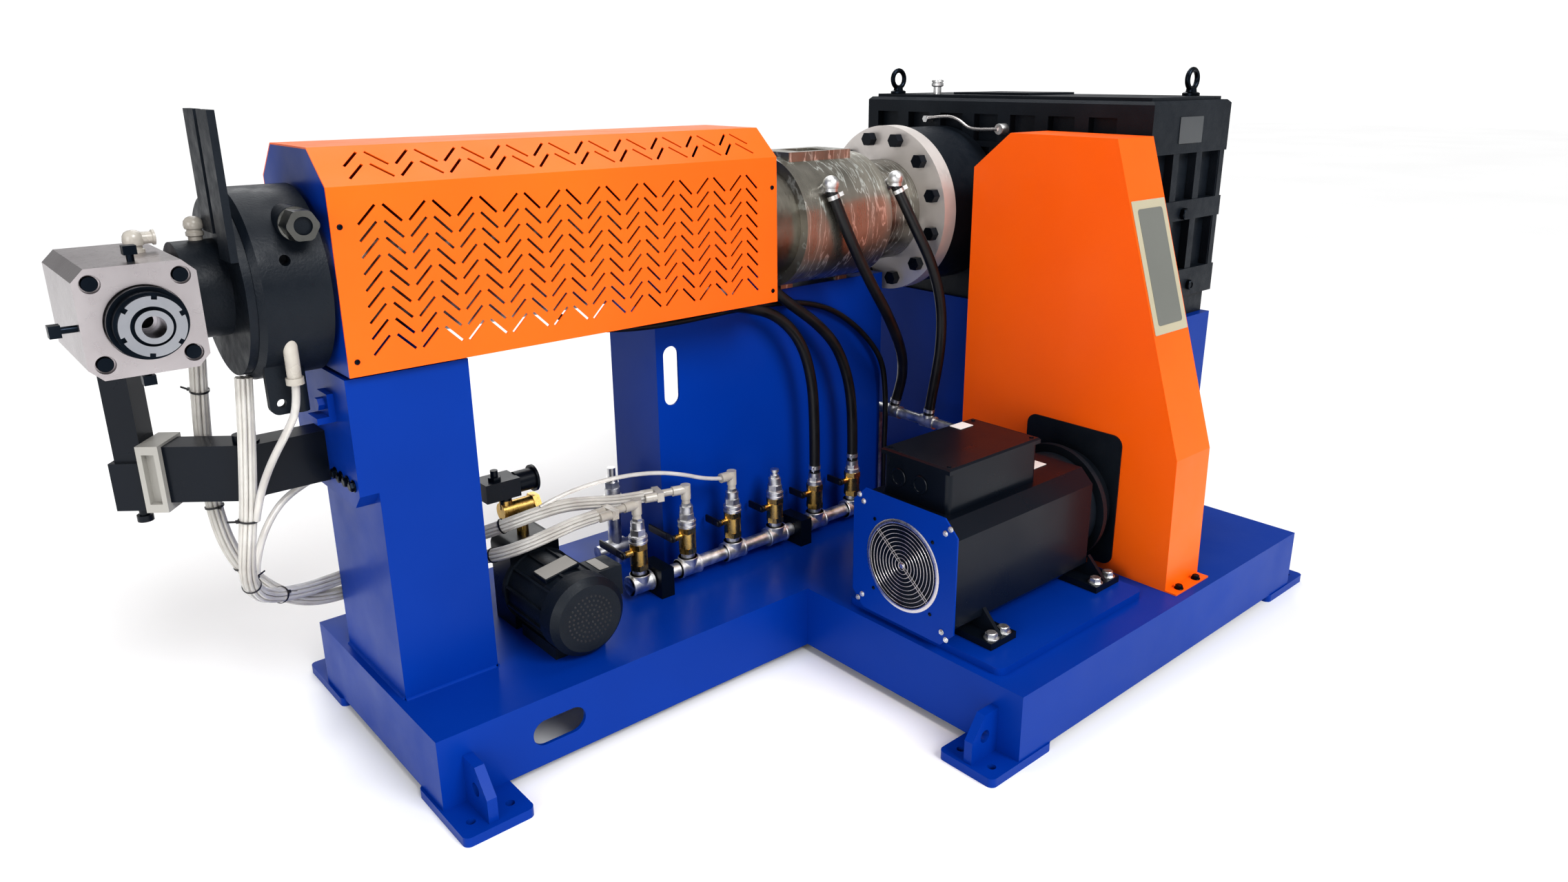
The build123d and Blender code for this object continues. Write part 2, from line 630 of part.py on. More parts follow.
# Feet under both ends of the motor, with gussets.
FOOT_HALF = 205
FEET = ((115, 200), (505, 600))
with BuildPart() as motor_feet:
    for x0, x1 in FEET:
        block(x0, x1, MOT_Y - FOOT_HALF, MOT_Y + FOOT_HALF, BASE_Z1 + SLIDE_T, MOT_Z0)
        for side in (-1, 1):
            with BuildSketch(Plane.YZ.offset((x0 + x1) / 2 - 5)):
                with BuildLine():
                    Polyline(
                        (MOT_Y + side * (MOT_HALF - 33), MOT_Z0),
                        (MOT_Y + side * (FOOT_HALF - 8), MOT_Z0),
                        (MOT_Y + side * MOT_HALF, MOT_Z0 + 50),
                        (MOT_Y + side * MOT_HALF, MOT_Z0 + 33),
                        close=True,
                    )
                make_face()
            extrude(amount=10)
save(motor_feet, "motor_feet")

BACK_Z0 = BASE_Z1 + SLIDE_T
BACK_Z1 = 522
with BuildPart() as motor_end_bell:
    rod_x(MOT_X1, GUARD_X0 - 4, MOT_Y, MOT_Z, MOT_Z - MOT_Z0)
    rod_x(MOT_X1 + 60, MOT_X1 + 75, MOT_Y, MOT_Z, MOT_Z - MOT_Z0 + 20)
    block(MOT_X1 - 200, GUARD_X0, MOT_Y - 200, MOT_Y + 200, 100, MOT_Z0, Mode.SUBTRACT)
    with BuildSketch(Plane.YZ.offset(GUARD_X0 - 4)):
        with Locations((MOT_Y - 7, (BACK_Z0 + BACK_Z1) / 2)):
            RectangleRounded(274, BACK_Z1 - BACK_Z0, 26)
    extrude(amount=4)
save(motor_end_bell, "motor_end_bell")

with BuildPart() as motor_fan_plate:
    block(MOT_X0 - 4, MOT_X0, MOT_Y - 150, MOT_Y + 150, 187, 479)
    chamfer(motor_fan_plate.edges().filter_by(Axis.X), length=35)
    rod_x(MOT_X0 - 10, MOT_X0 + 6, MOT_Y, MOT_Z, 100, Mode.SUBTRACT)
save(motor_fan_plate, "motor_fan_plate")

with BuildPart() as fan_grille:
    for r in (16, 32, 48, 64, 80, 98):
        with BuildSketch(Plane.YZ.offset(MOT_X0 - 7)):
            with Locations((MOT_Y, MOT_Z)):
                Circle(r + 2)
                Circle(r - 2, mode=Mode.SUBTRACT)
        extrude(amount=3)
    with Locations(Location((MOT_X0 - 5.5, MOT_Y, MOT_Z), (45, 0, 0))):
        Box(3, 200, 4)
        Box(3, 4, 200)
    rod_x(MOT_X0 - 7, MOT_X0, MOT_Y, MOT_Z, 12)
    with BuildSketch(Plane.YZ.offset(MOT_X0 - 7)):
        with Locations((MOT_Y, MOT_Z)):
            Circle(106)
            Circle(98, mode=Mode.SUBTRACT)
    extrude(amount=3)
save(fan_grille, "fan_grille")

with BuildPart() as terminal_box:
    block(87, 390, -425, -237, 470, 560)
    fillet(terminal_box.edges().filter_by(Axis.Z), 12)
    block(83, 394, -429, -233, 560, 573)
    chamfer(terminal_box.faces().sort_by(Axis.Z)[-1].edges(), length=4)
save(terminal_box, "terminal_box")

# Pump unit behind the pillar.
PUMP_X = -513
PUMP_Z = 266
PUMP_R = 88
PUMP_Y0 = 24
PUMP_Y1 = 250
with BuildPart() as pump_motor:
    rod_y(PUMP_Y0, PUMP_Y0 + 55, PUMP_X, PUMP_Z, PUMP_R)
    chamfer(pump_motor.edges().filter_by(GeomType.CIRCLE).sort_by(Axis.Y)[0], length=14)
    rod_y(PUMP_Y0 + 55, PUMP_Y1 - 12, PUMP_X, PUMP_Z, PUMP_R - 8)
    rod_y(PUMP_Y1 - 12, PUMP_Y1, PUMP_X, PUMP_Z, PUMP_R - 2)
    for k in range(12):
        with Locations(Location((PUMP_X, (PUMP_Y0 + PUMP_Y1) / 2 + 20, PUMP_Z), (0, 30 * k + 15, 0))):
            with Locations((PUMP_R - 8, 0, 0)):
                Box(10, PUMP_Y1 - PUMP_Y0 - 70, 5)
    block(PUMP_X - 60, PUMP_X + 60, PUMP_Y0 + 50, PUMP_Y1 - 30, BASE_Z1, PUMP_Z - PUMP_R + 20)
    block(PUMP_X + 40, PUMP_X + 125, 95, 165, 255, 325)
save(pump_motor, "pump_motor")

PUMP_TOP = 372
COIL_Z0 = PUMP_TOP + 90
with BuildPart() as pump_body:
    block(PUMP_X - 60, PUMP_X + 60, PUMP_Y1, 340, BASE_Z1, PUMP_TOP)
    fillet(pump_body.edges().filter_by(Axis.Y).group_by(Axis.Z)[-1], 20)
    rod_z(COIL_Z0, COIL_Z0 + 12, PUMP_X - 37, 295, 14)
    block(PUMP_X - 92, PUMP_X - 12, 266, 328, COIL_Z0 + 12, COIL_Z0 + 54)
    rod_x(PUMP_X - 12, PUMP_X + 30, 297, COIL_Z0 + 33, 24)
    rod_x(PUMP_X + 30, PUMP_X + 36, 297, COIL_Z0 + 33, 30)
    hex_z(COIL_Z0 + 54, COIL_Z0 + 62, PUMP_X - 60, 290, 26)
    rod_z(COIL_Z0 + 62, COIL_Z0 + 76, PUMP_X - 60, 290, 8)
save(pump_body, "pump_body")

with BuildPart() as pump_valve:
    rod_z(PUMP_TOP, PUMP_TOP + 50, PUMP_X - 2, 295, 13)
    rod_x(PUMP_X - 50, PUMP_X + 22, 295, PUMP_TOP + 64, 20)
    hex_x(PUMP_X + 22, PUMP_X + 38, 295, PUMP_TOP + 64, 44)
    rod_z(PUMP_TOP + 70, COIL_Z0, PUMP_X - 37, 295, 14)
save(pump_valve, "pump_valve")

# Water pipes: the manifold with six tees, a second riser behind it, and the feed section's return.
STACKS = [STACK_X0 + STACK_STEP * k for k in range(6)]
TEE_R = 23
VALVE_Z0 = 246
VALVE_Z1 = 312
REAR_X = -215
REAR_Y = 400
RETURN_TAPS = (225, 96)
with BuildPart() as water_pipes:
    rod_x(STACKS[0] - 22, STACKS[5] + 60, PIPE_Y, PIPE_Z, PIPE_R)
    for x in STACKS:
        rod_z(PIPE_Z, VALVE_Z0, x, PIPE_Y, PIPE_R)
        rod_x(x - 30, x + 30, PIPE_Y, PIPE_Z, TEE_R)
        rod_z(PIPE_Z, 234, x, PIPE_Y, TEE_R)
    rod_x(-268, STAND_X0, REAR_Y, PIPE_Z, PIPE_R)
    rod_x(REAR_X - 26, REAR_X + 26, REAR_Y, PIPE_Z, TEE_R)
    rod_z(BASE_Z1, 330, REAR_X, REAR_Y, PIPE_R)
    hex_z(330, 350, REAR_X, REAR_Y, 44)
    rod_z(350, 372, REAR_X, REAR_Y, 19)
    hex_z(372, 388, REAR_X, REAR_Y, 34)
    rod_z(388, 400, REAR_X, REAR_Y, 14)
    rod_z(400, 424, REAR_X, REAR_Y, 10)
    rod_y(-10, 300, RETURN_X, RETURN_Z, RETURN_R)
    rod_y(-22, -10, RETURN_X, RETURN_Z, 19)
    rod_z(BASE_Z1, RETURN_Z, RETURN_X, 300 - RETURN_R, RETURN_R)
    rod_z(BASE_Z1, BASE_Z1 + 8, RETURN_X, 300 - RETURN_R, 30)
    for y in RETURN_TAPS:
        rod_z(RETURN_Z, RETURN_Z + 19, RETURN_X, y, 16)
        rod_y(y - 24, y + 24, RETURN_X, RETURN_Z, 18)
save(water_pipes, "water_pipes")

with BuildPart() as valve_bodies:
    for x in STACKS:
        hex_z(VALVE_Z0, VALVE_Z0 + 14, x, PIPE_Y, 40)
        rod_z(VALVE_Z0 + 14, VALVE_Z1 - 14, x, PIPE_Y, 21)
        hex_z(VALVE_Z1 - 14, VALVE_Z1, x, PIPE_Y, 40)
        rod_x(x - 36, x, PIPE_Y, LEVER_Z, 8)
        rod_x(x - 40, x, PIPE_Y, LEVER_Z, 5)
save(valve_bodies, "valve_bodies")

# Fittings: reducers on four valves, hose tails on the last two, and two ball shaped elbows
# where cooling water leaves the feed section.
ELBOW_1 = (271, 130, 1100)
ELBOW_2 = (500, 134, 1098)


def ball_elbow(x, y, z, mode=Mode.ADD):
    with Locations((x, y, z)):
        Sphere(20, mode=mode)
    rod_z(z - 18, z, x, y, 17, mode)
    tilt = degrees(atan2(z - AX_Z, AX_Y - y))
    with Locations(Location((x, y, z), (90 - tilt, 0, 0))):
        with Locations((0, 0, -25)):
            Cylinder(14, 50, mode=mode)


with BuildPart() as pipe_fittings:
    ball_elbow(*ELBOW_1)
    ball_elbow(*ELBOW_2)
    rod_x(FEED_X0, FEED_X1, AX_Y, AX_Z, FEED_R, Mode.SUBTRACT)
    rod_x(FEED_X1 - 10, FLANGE_X0, AX_Y, AX_Z, FEED_NECK_R, Mode.SUBTRACT)
    for x in STACKS[:4]:
        rod_z(VALVE_Z1, 332, x, PIPE_Y, 21)
        hex_z(332, 348, x, PIPE_Y, 34)
        rod_z(348, 366, x, PIPE_Y, 16)
        hex_z(366, 374, x, PIPE_Y, 22)
    rod_z(374, 382, STACKS[3], PIPE_Y, 7)
    rod_z(382, 389, STACKS[3], PIPE_Y, 11)
    for x in STACKS[4:]:
        rod_z(VALVE_Z1, 322, x, PIPE_Y, 20)
        hex_z(322, 333, x, PIPE_Y, 30)
        rod_z(333, 345, x, PIPE_Y, 16)
save(pipe_fittings, "pipe_fittings")

# White push in fittings: on the crosshead, the neck and the clamp, then elbows on three stacks.
# The first two elbows end in a double branch, and the second is turned clear of the first.
ELBOW_Z = 408
CLAMP_FITTING_Z = 841
ELBOW_TURN = -15


def elbow(x, turn, double):
    rod_z(374, 384, x, PIPE_Y, 10)
    rod_z(384, ELBOW_Z + 12, x, PIPE_Y, 12)
    with Locations(Location((x, PIPE_Y, ELBOW_Z), (0, 0, turn))):
        with Locations(Location((-17, 0, 0), (0, 90, 0))):
            Cylinder(12, 34)
        if double:
            with Locations(Location((-48, 0, 0), (0, 90, 0))):
                Cylinder(9, 28)
            with Locations((-70, 0, 0)):
                Box(16, 48, 22)
            with Locations(Location((-92, -13, 0), (0, 90, 0)), Location((-92, 13, 0), (0, 90, 0))):
                Cylinder(11, 28)


with BuildPart() as push_in_fittings:
    rod_z(HEAD_TOP, HEAD_TOP + 32, -1168, 260, 11)
    rod_x(-1168, -1142, 260, HEAD_TOP + 22, 10)
    rod_z(AX_Z + 60, AX_Z + NECK_R + 20, -1071, AX_Y, 10)
    rod_z(AX_Z + NECK_R + 20, AX_Z + NECK_R + 31, -1071, AX_Y, 13)
    rod_x(HEAD_X1, CLAMP_X0, AX_Y, AX_Z, NECK_R, Mode.SUBTRACT)
    rod_z(CLAMP_FITTING_Z, 930, -985, 150, 12)
    rod_z(CLAMP_FITTING_Z, CLAMP_FITTING_Z + 12, -985, 150, 15)
    rod_x(CLAMP_X0, CLAMP_X1, AX_Y, AX_Z, CLAMP_R, Mode.SUBTRACT)
    elbow(STACKS[0], 0, True)
    elbow(STACKS[1], ELBOW_TURN, True)
    elbow(STACKS[2], 0, False)
save(push_in_fittings, "push_in_fittings")

with BuildPart() as pipe_clamps:
    for x in (-230, 210):
        block(x - 18, x + 18, 150, 234, BASE_Z1, 242)
        rod_x(x - 30, x + 30, PIPE_Y, PIPE_Z, PIPE_R, Mode.SUBTRACT)
save(pipe_clamps, "pipe_clamps")


# Levers: long handles on the first two valves, short ones in front of the stand.
def lever(x, reach):
    rod_x(x - 46, x - 40, PIPE_Y, LEVER_Z, 9)
    block(x - 46, x - 42, PIPE_Y, PIPE_Y + reach, LEVER_Z - 9, LEVER_Z + 9)


with BuildPart() as valve_lever_1:
    lever(STACKS[0], 96)
save(valve_lever_1, "valve_lever_1")

with BuildPart() as valve_lever_2:
    lever(STACKS[1], 96)
save(valve_lever_2, "valve_lever_2")

with BuildPart() as valve_lever_3:
    lever(STACKS[2], 50)
save(valve_lever_3, "valve_lever_3")

with BuildPart() as valve_lever_4:
    lever(STACKS[3], 50)
save(valve_lever_4, "valve_lever_4")

with BuildPart() as valve_lever_5:
    lever(STACKS[4], 50)
save(valve_lever_5, "valve_lever_5")

with BuildPart() as valve_lever_6:
    lever(STACKS[5], 50)
save(valve_lever_6, "valve_lever_6")

# Hoses: straight runs joined by arcs, each arc as large as its two runs allow.
def bend_radii(points):
    radii = []
    for k in range(1, len(points) - 1):
        before = Vector(*points[k]) - Vector(*points[k - 1])
        after = Vector(*points[k + 1]) - Vector(*points[k])
        turn = radians(before.get_angle(after))
        radii.append(0.45 * min(before.length, after.length) / tan(turn / 2))
    return radii


def hose(points, radius, mode=Mode.ADD):
    radii = bend_radii(points)
    print("bend radii", [round(r, 1) for r in radii])
    with BuildLine() as route:
        FilletPolyline(*points, radius=radii)
    wire = route.wires()[0]
    with BuildSketch(Plane(origin=wire @ 0, z_dir=wire % 0)) as profile:
        Circle(radius)
    sweep(profile.sketch, path=wire, mode=mode)


HOSE_R = 14
HOSE_1 = [
    (STACKS[4], PIPE_Y, 345),
    (STACKS[4], PIPE_Y, 480),
    (268, 193, 610),
    (232, 198, 715),
    (165, 212, 785),
    (75, 222, 815),
    (-20, 226, 830),
    (-110, 229, 852),
    (-180, 231, 893),
]
HOSE_2 = [
    (STACKS[5], PIPE_Y, 345),
    (STACKS[5], PIPE_Y, 460),
    (404, 195, 575),
    (362, 199, 675),
    (300, 206, 740),
    (240, 213, 785),
    (190, 220, 822),
    (150, 226, 858),
    (122, 230, 898),
]
with BuildPart() as hose_1:
    hose(HOSE_1, HOSE_R)
    rod_x(-400, FEED_X0, AX_Y, AX_Z, BARREL_R, Mode.SUBTRACT)
save(hose_1, "hose_1")

with BuildPart() as hose_2:
    hose(HOSE_2, HOSE_R)
    rod_x(-400, FEED_X0, AX_Y, AX_Z, BARREL_R, Mode.SUBTRACT)
save(hose_2, "hose_2")

# Hoses from the feed section's elbows down to the return pipe.
HOSE_3 = [
    (271, 128, 1082),
    (292, 104, 1000),
    (375, 104, 865),
    (468, 112, 745),
    (548, 140, 640),
    (604, 185, 560),
    (618, 212, 495),
    (616, 225, 455),
]
with BuildPart() as hose_3:
    hose(HOSE_3, HOSE_R)
    ball_elbow(*ELBOW_1, Mode.SUBTRACT)
    rod_z(RETURN_Z, RETURN_Z + 19, RETURN_X, RETURN_TAPS[0], 16, Mode.SUBTRACT)
save(hose_3, "hose_3")

HOSE_4 = [
    (500, 132, 1080),
    (530, 96, 985),
    (575, 66, 880),
    (608, 58, 770),
    (614, 60, 660),
    (612, 74, 560),
    (614, 88, 500),
    (616, 96, 455),
]
with BuildPart() as hose_4:
    hose(HOSE_4, HOSE_R)
    ball_elbow(*ELBOW_2, Mode.SUBTRACT)
    rod_z(RETURN_Z, RETURN_Z + 19, RETURN_X, RETURN_TAPS[1], 16, Mode.SUBTRACT)
save(hose_4, "hose_4")

# Heater cable harness along the underside of the cover and down beside the stand.
HARNESS_R = 7.5
HARNESS = [
    (-440, 246, 880),
    (-400, 246, 848),
    (-340, 246, 820),
    (-230, 246, 804),
    (-100, 246, 800),
    (50, 246, 806),
    (170, 246, 805),
    (280, 246, 794),
    (380, 246, 764),
    (460, 246, 715),
    (525, 240, 655),
    (570, 233, 590),
    (582, 230, 510),
    (584, 229, 420),
    (583, 231, 330),
    (583, 229, 245),
    (584, 231, 170),
]
with BuildPart() as cable_harness:
    hose(HARNESS, HARNESS_R)
    block(560, 600, 210, 250, BASE_Z1 - 10, BASE_Z1, Mode.SUBTRACT)
    rod_x(CLAMP_X1, FEED_X0, AX_Y, AX_Z, BARREL_R, Mode.SUBTRACT)
save(cable_harness, "cable_harness")

# Tube bundles: one from the clamp down in front of the arm, one from the neck down behind it.
# Both turn under the arm, pass behind the pillar and over the pump, and end at the elbows.
BUNDLE_R = 16
BUNDLE_FRONT = [
    (-1041, 250, 845),
    (-1048, 250, 765),
    (-1058, 250, 680),
    (-1068, 250, 600),
    (-1080, 252, 530),
    (-1085, 268, 466),
    (-1070, 304, 412),
    (-1036, 344, 376),
    (-990, 382, 352),
    (-940, 420, 332),
    (-874, 456, 318),
    (-792, 480, 313),
    (-710, 485, 319),
    (-658, 457, 335),
    (-629, 406, 354),
    (-614, 348, 376),
    (-594, 296, 400),
    (-560, 256, 422),
    (-508, 235, 437),
    (-444, 232, 439),
    (-374, 238, 424),
    (-304.7, 236, 408),
    (-242.9, 219.4, 408),
]
BUNDLE_REAR = [
    (-1078, 352, 950),
    (-1078, 392, 862),
    (-1081, 416, 775),
    (-1086, 424, 690),
    (-1089, 424, 610),
    (-1088, 419, 540),
    (-1077, 414, 470),
    (-1050, 414, 405),
    (-1006, 421, 345),
    (-948, 438, 302),
    (-878, 462, 280),
    (-792, 484, 274),
    (-710, 488, 280),
    (-658, 459, 294),
    (-629, 407, 310),
    (-622, 346, 328),
    (-610, 288, 346),
    (-586, 238, 366),
    (-544, 206, 385),
    (-490, 192, 400),
    (-436, 192, 408),
    (-386, 192, 408),
]
with BuildPart() as tube_bundle_front:
    hose(BUNDLE_FRONT, BUNDLE_R)
    rod_x(CLAMP_X0, CLAMP_X1, AX_Y, AX_Z, CLAMP_R, Mode.SUBTRACT)
    rod_x(BAR_X1, CLAMP_X0, AX_Y, AX_Z, CLAMP_R - 12, Mode.SUBTRACT)
save(tube_bundle_front, "tube_bundle_front")

with BuildPart() as tube_bundle_rear:
    hose(BUNDLE_REAR, BUNDLE_R)
    rod_x(HEAD_X1, CLAMP_X0, AX_Y, AX_Z, NECK_R, Mode.SUBTRACT)
save(tube_bundle_rear, "tube_bundle_rear")

# Single tubes that join the front bundle, and one that leaves it for the third elbow.
TUBE_R = 7
TUBE_CLAMP = [
    (-985, 150, CLAMP_FITTING_Z),
    (-986, 156, 796),
    (-1002, 177, 752),
    (-1023, 200, 706),
    (-1041, 219, 659),
    (-1054, 234, 612),
    (-1063, 245, 568),
]
TUBE_PILLAR = [
    (PIL_X0 - FRONT_PLATE_T, 358, 594),
    (-948, 356, 580),
    (-986, 351, 560),
    (-1014, 342, 533),
    (-1037, 330, 502),
    (-1053, 319, 468),
    (-1062, 309, 436),
]
TUBE_ELBOW_R = 5
TUBE_ELBOW = [
    (-512, 233, 442),
    (-452, 233, 463),
    (-372, 229, 472),
    (-290, 219, 473),
    (-210, 208, 464),
    (-138, 198, 443),
    (-80, 192, 418),
    (-35, 192, 408),
]
with BuildPart() as tube_clamp:
    hose(TUBE_CLAMP, TUBE_R)
    rod_z(CLAMP_FITTING_Z, CLAMP_FITTING_Z + 12, -985, 150, 15, Mode.SUBTRACT)
    hose(BUNDLE_FRONT, BUNDLE_R, Mode.SUBTRACT)
save(tube_clamp, "tube_clamp")

with BuildPart() as tube_pillar:
    hose(TUBE_PILLAR, TUBE_R)
    hose(BUNDLE_FRONT, BUNDLE_R, Mode.SUBTRACT)
    block(PIL_X0 - FRONT_PLATE_T, PIL_X0, 330, 380, 570, 620, Mode.SUBTRACT)
save(tube_pillar, "tube_pillar")

with BuildPart() as tube_elbow:
    hose(TUBE_ELBOW, TUBE_ELBOW_R)
    hose(BUNDLE_FRONT, BUNDLE_R, Mode.SUBTRACT)
    rod_x(STACKS[2] - 34, STACKS[2], PIPE_Y, ELBOW_Z, 12, Mode.SUBTRACT)
save(tube_elbow, "tube_elbow")
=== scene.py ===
import json
from math import cos, pi, radians, sin

import bmesh
import bpy
from mathutils import Matrix, Vector


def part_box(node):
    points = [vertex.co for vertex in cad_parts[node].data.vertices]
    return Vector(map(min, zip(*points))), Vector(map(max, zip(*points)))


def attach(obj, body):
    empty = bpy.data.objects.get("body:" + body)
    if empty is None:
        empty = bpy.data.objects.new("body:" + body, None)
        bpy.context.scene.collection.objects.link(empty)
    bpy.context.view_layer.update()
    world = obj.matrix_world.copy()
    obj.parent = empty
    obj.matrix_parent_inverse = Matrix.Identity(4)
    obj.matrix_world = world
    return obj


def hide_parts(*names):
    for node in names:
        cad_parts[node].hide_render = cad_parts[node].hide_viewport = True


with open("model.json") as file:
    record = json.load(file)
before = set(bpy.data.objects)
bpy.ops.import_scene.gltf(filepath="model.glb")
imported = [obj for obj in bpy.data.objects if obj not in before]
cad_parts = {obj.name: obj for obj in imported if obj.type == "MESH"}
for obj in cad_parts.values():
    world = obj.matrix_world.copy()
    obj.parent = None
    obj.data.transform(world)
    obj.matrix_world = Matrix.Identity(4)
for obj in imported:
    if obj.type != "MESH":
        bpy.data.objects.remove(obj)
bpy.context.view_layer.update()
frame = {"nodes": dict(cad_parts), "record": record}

# Lowest and highest corners of the CAD nodes that carry small pieces
BARREL_LOW, BARREL_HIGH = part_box("barrel")
HEAD_LOW, HEAD_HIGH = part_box("crosshead_block")
NECK_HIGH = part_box("adapter_neck")[1]
COVER_LOW, COVER_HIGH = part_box("cover_sides")
PILLAR_LOW, PILLAR_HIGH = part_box("front_pillar")
GEARBOX_LOW, GEARBOX_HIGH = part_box("gearbox_housing")
GUARD_LOW, GUARD_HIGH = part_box("belt_guard")
MOTOR_LOW, MOTOR_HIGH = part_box("motor_body")
FAN_PLATE_LOW, FAN_PLATE_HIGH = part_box("motor_fan_plate")
TERMINAL_LOW, TERMINAL_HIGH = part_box("terminal_box")
BASE_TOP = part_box("base_limb")[1].z

# Axes of the barrel, the main motor, the pump's motor, the manifold's pipe and its six stacks
AXIS_Y = (BARREL_LOW.y + BARREL_HIGH.y) / 2
MOTOR_Y = -0.330
MOTOR_Z = 0.331
PUMP_X = -0.513
PUMP_Z = 0.266
PIPE_Y = 0.192
PIPE_Z = 0.208
STACK_X = [-0.280 + 0.1395 * k for k in range(6)]


# Helpers for shader nodes
def new_material(name):
    material = bpy.data.materials.new(name)
    material.use_nodes = True
    tree = material.node_tree
    shader = tree.nodes["Principled BSDF"]
    return material, tree, shader


def noise(tree, scale, detail=4.0, stretch=(1, 1, 1)):
    coords = tree.nodes.new("ShaderNodeTexCoord")
    mapping = tree.nodes.new("ShaderNodeMapping")
    mapping.inputs["Scale"].default_value = stretch
    texture = tree.nodes.new("ShaderNodeTexNoise")
    texture.inputs["Scale"].default_value = scale
    texture.inputs["Detail"].default_value = detail
    tree.links.new(coords.outputs["Object"], mapping.inputs["Vector"])
    tree.links.new(mapping.outputs["Vector"], texture.inputs["Vector"])
    return texture.outputs["Fac"]


def ramp(tree, source, stops):
    node = tree.nodes.new("ShaderNodeValToRGB")
    while len(node.color_ramp.elements) < len(stops):
        node.color_ramp.elements.new(0.5)
    for element, (place, colour) in zip(node.color_ramp.elements, stops):
        element.position = place
        element.color = (*colour, 1)
    tree.links.new(source, node.inputs["Fac"])
    return node.outputs["Color"]


def spread(tree, source, low, high):
    node = tree.nodes.new("ShaderNodeMapRange")
    node.inputs["From Min"].default_value = 0.3
    node.inputs["From Max"].default_value = 0.7
    node.inputs["To Min"].default_value = low
    node.inputs["To Max"].default_value = high
    tree.links.new(source, node.inputs["Value"])
    return node.outputs["Result"]


def bump(tree, shader, source, strength, distance):
    node = tree.nodes.new("ShaderNodeBump")
    node.inputs["Strength"].default_value = strength
    node.inputs["Distance"].default_value = distance
    tree.links.new(source, node.inputs["Height"])
    tree.links.new(node.outputs["Normal"], shader.inputs["Normal"])


# Sprayed paint: slow changes of shade, fine orange peel and, where coat is set, a clear coat
def paint(name, dark, light, rough, coat, peel=0.12, shine=0.3):
    material, tree, shader = new_material(name)
    shader.inputs["Specular IOR Level"].default_value = shine
    shade = noise(tree, 1.6, 3)
    tree.links.new(ramp(tree, shade, ((0.3, dark), (0.7, light))), shader.inputs["Base Color"])
    tree.links.new(spread(tree, noise(tree, 9, 5), rough * 0.85, rough * 1.2), shader.inputs["Roughness"])
    shader.inputs["Coat Weight"].default_value = coat
    shader.inputs["Coat Roughness"].default_value = 0.12
    bump(tree, shader, noise(tree, 320, 2), peel, 0.0004)
    return material


# Rough casting under thin paint
def casting(name, dark, light, rough, grain):
    material, tree, shader = new_material(name)
    tree.links.new(ramp(tree, noise(tree, 6, 6), ((0.3, dark), (0.7, light))), shader.inputs["Base Color"])
    tree.links.new(spread(tree, noise(tree, 40, 4), rough * 0.8, rough * 1.2), shader.inputs["Roughness"])
    shader.inputs["Specular IOR Level"].default_value = 0.22
    bump(tree, shader, noise(tree, grain, 6), 0.35, 0.0012)
    return material


# Turned or ground metal. Its noise is finest along the axis with the largest streak value, so that the
# streaks run across that axis.
def metal(name, dark, light, rough, streak, scale=60, relief=0.03, metallic=1.0):
    material, tree, shader = new_material(name)
    shader.inputs["Metallic"].default_value = metallic
    blotch = noise(tree, 7, 5)
    tree.links.new(ramp(tree, blotch, ((0.32, dark), (0.68, light))), shader.inputs["Base Color"])
    lines = noise(tree, scale, 3, streak)
    tree.links.new(spread(tree, lines, rough * 0.85, rough * 1.2), shader.inputs["Roughness"])
    if relief:
        bump(tree, shader, lines, relief, 0.0002)
    return material


# Zinc coat: dull and bright patches with a fine grain
def zinc(name, dark, light):
    material, tree, shader = new_material(name)
    shader.inputs["Metallic"].default_value = 1.0
    tree.links.new(ramp(tree, noise(tree, 55, 5), ((0.36, dark), (0.62, light))), shader.inputs["Base Color"])
    tree.links.new(spread(tree, noise(tree, 25, 4), 0.30, 0.50), shader.inputs["Roughness"])
    bump(tree, shader, noise(tree, 140, 4), 0.12, 0.0006)
    return material


# Moulded plastic or rubber
def moulded(name, dark, light, rough, see_through=0.0, shine=0.5):
    material, tree, shader = new_material(name)
    shader.inputs["Specular IOR Level"].default_value = shine
    tree.links.new(ramp(tree, noise(tree, 18, 3), ((0.3, dark), (0.7, light))), shader.inputs["Base Color"])
    tree.links.new(spread(tree, noise(tree, 30, 3), rough * 0.8, rough * 1.25), shader.inputs["Roughness"])
    shader.inputs["Transmission Weight"].default_value = see_through
    bump(tree, shader, noise(tree, 140, 3), 0.1, 0.0005)
    return material


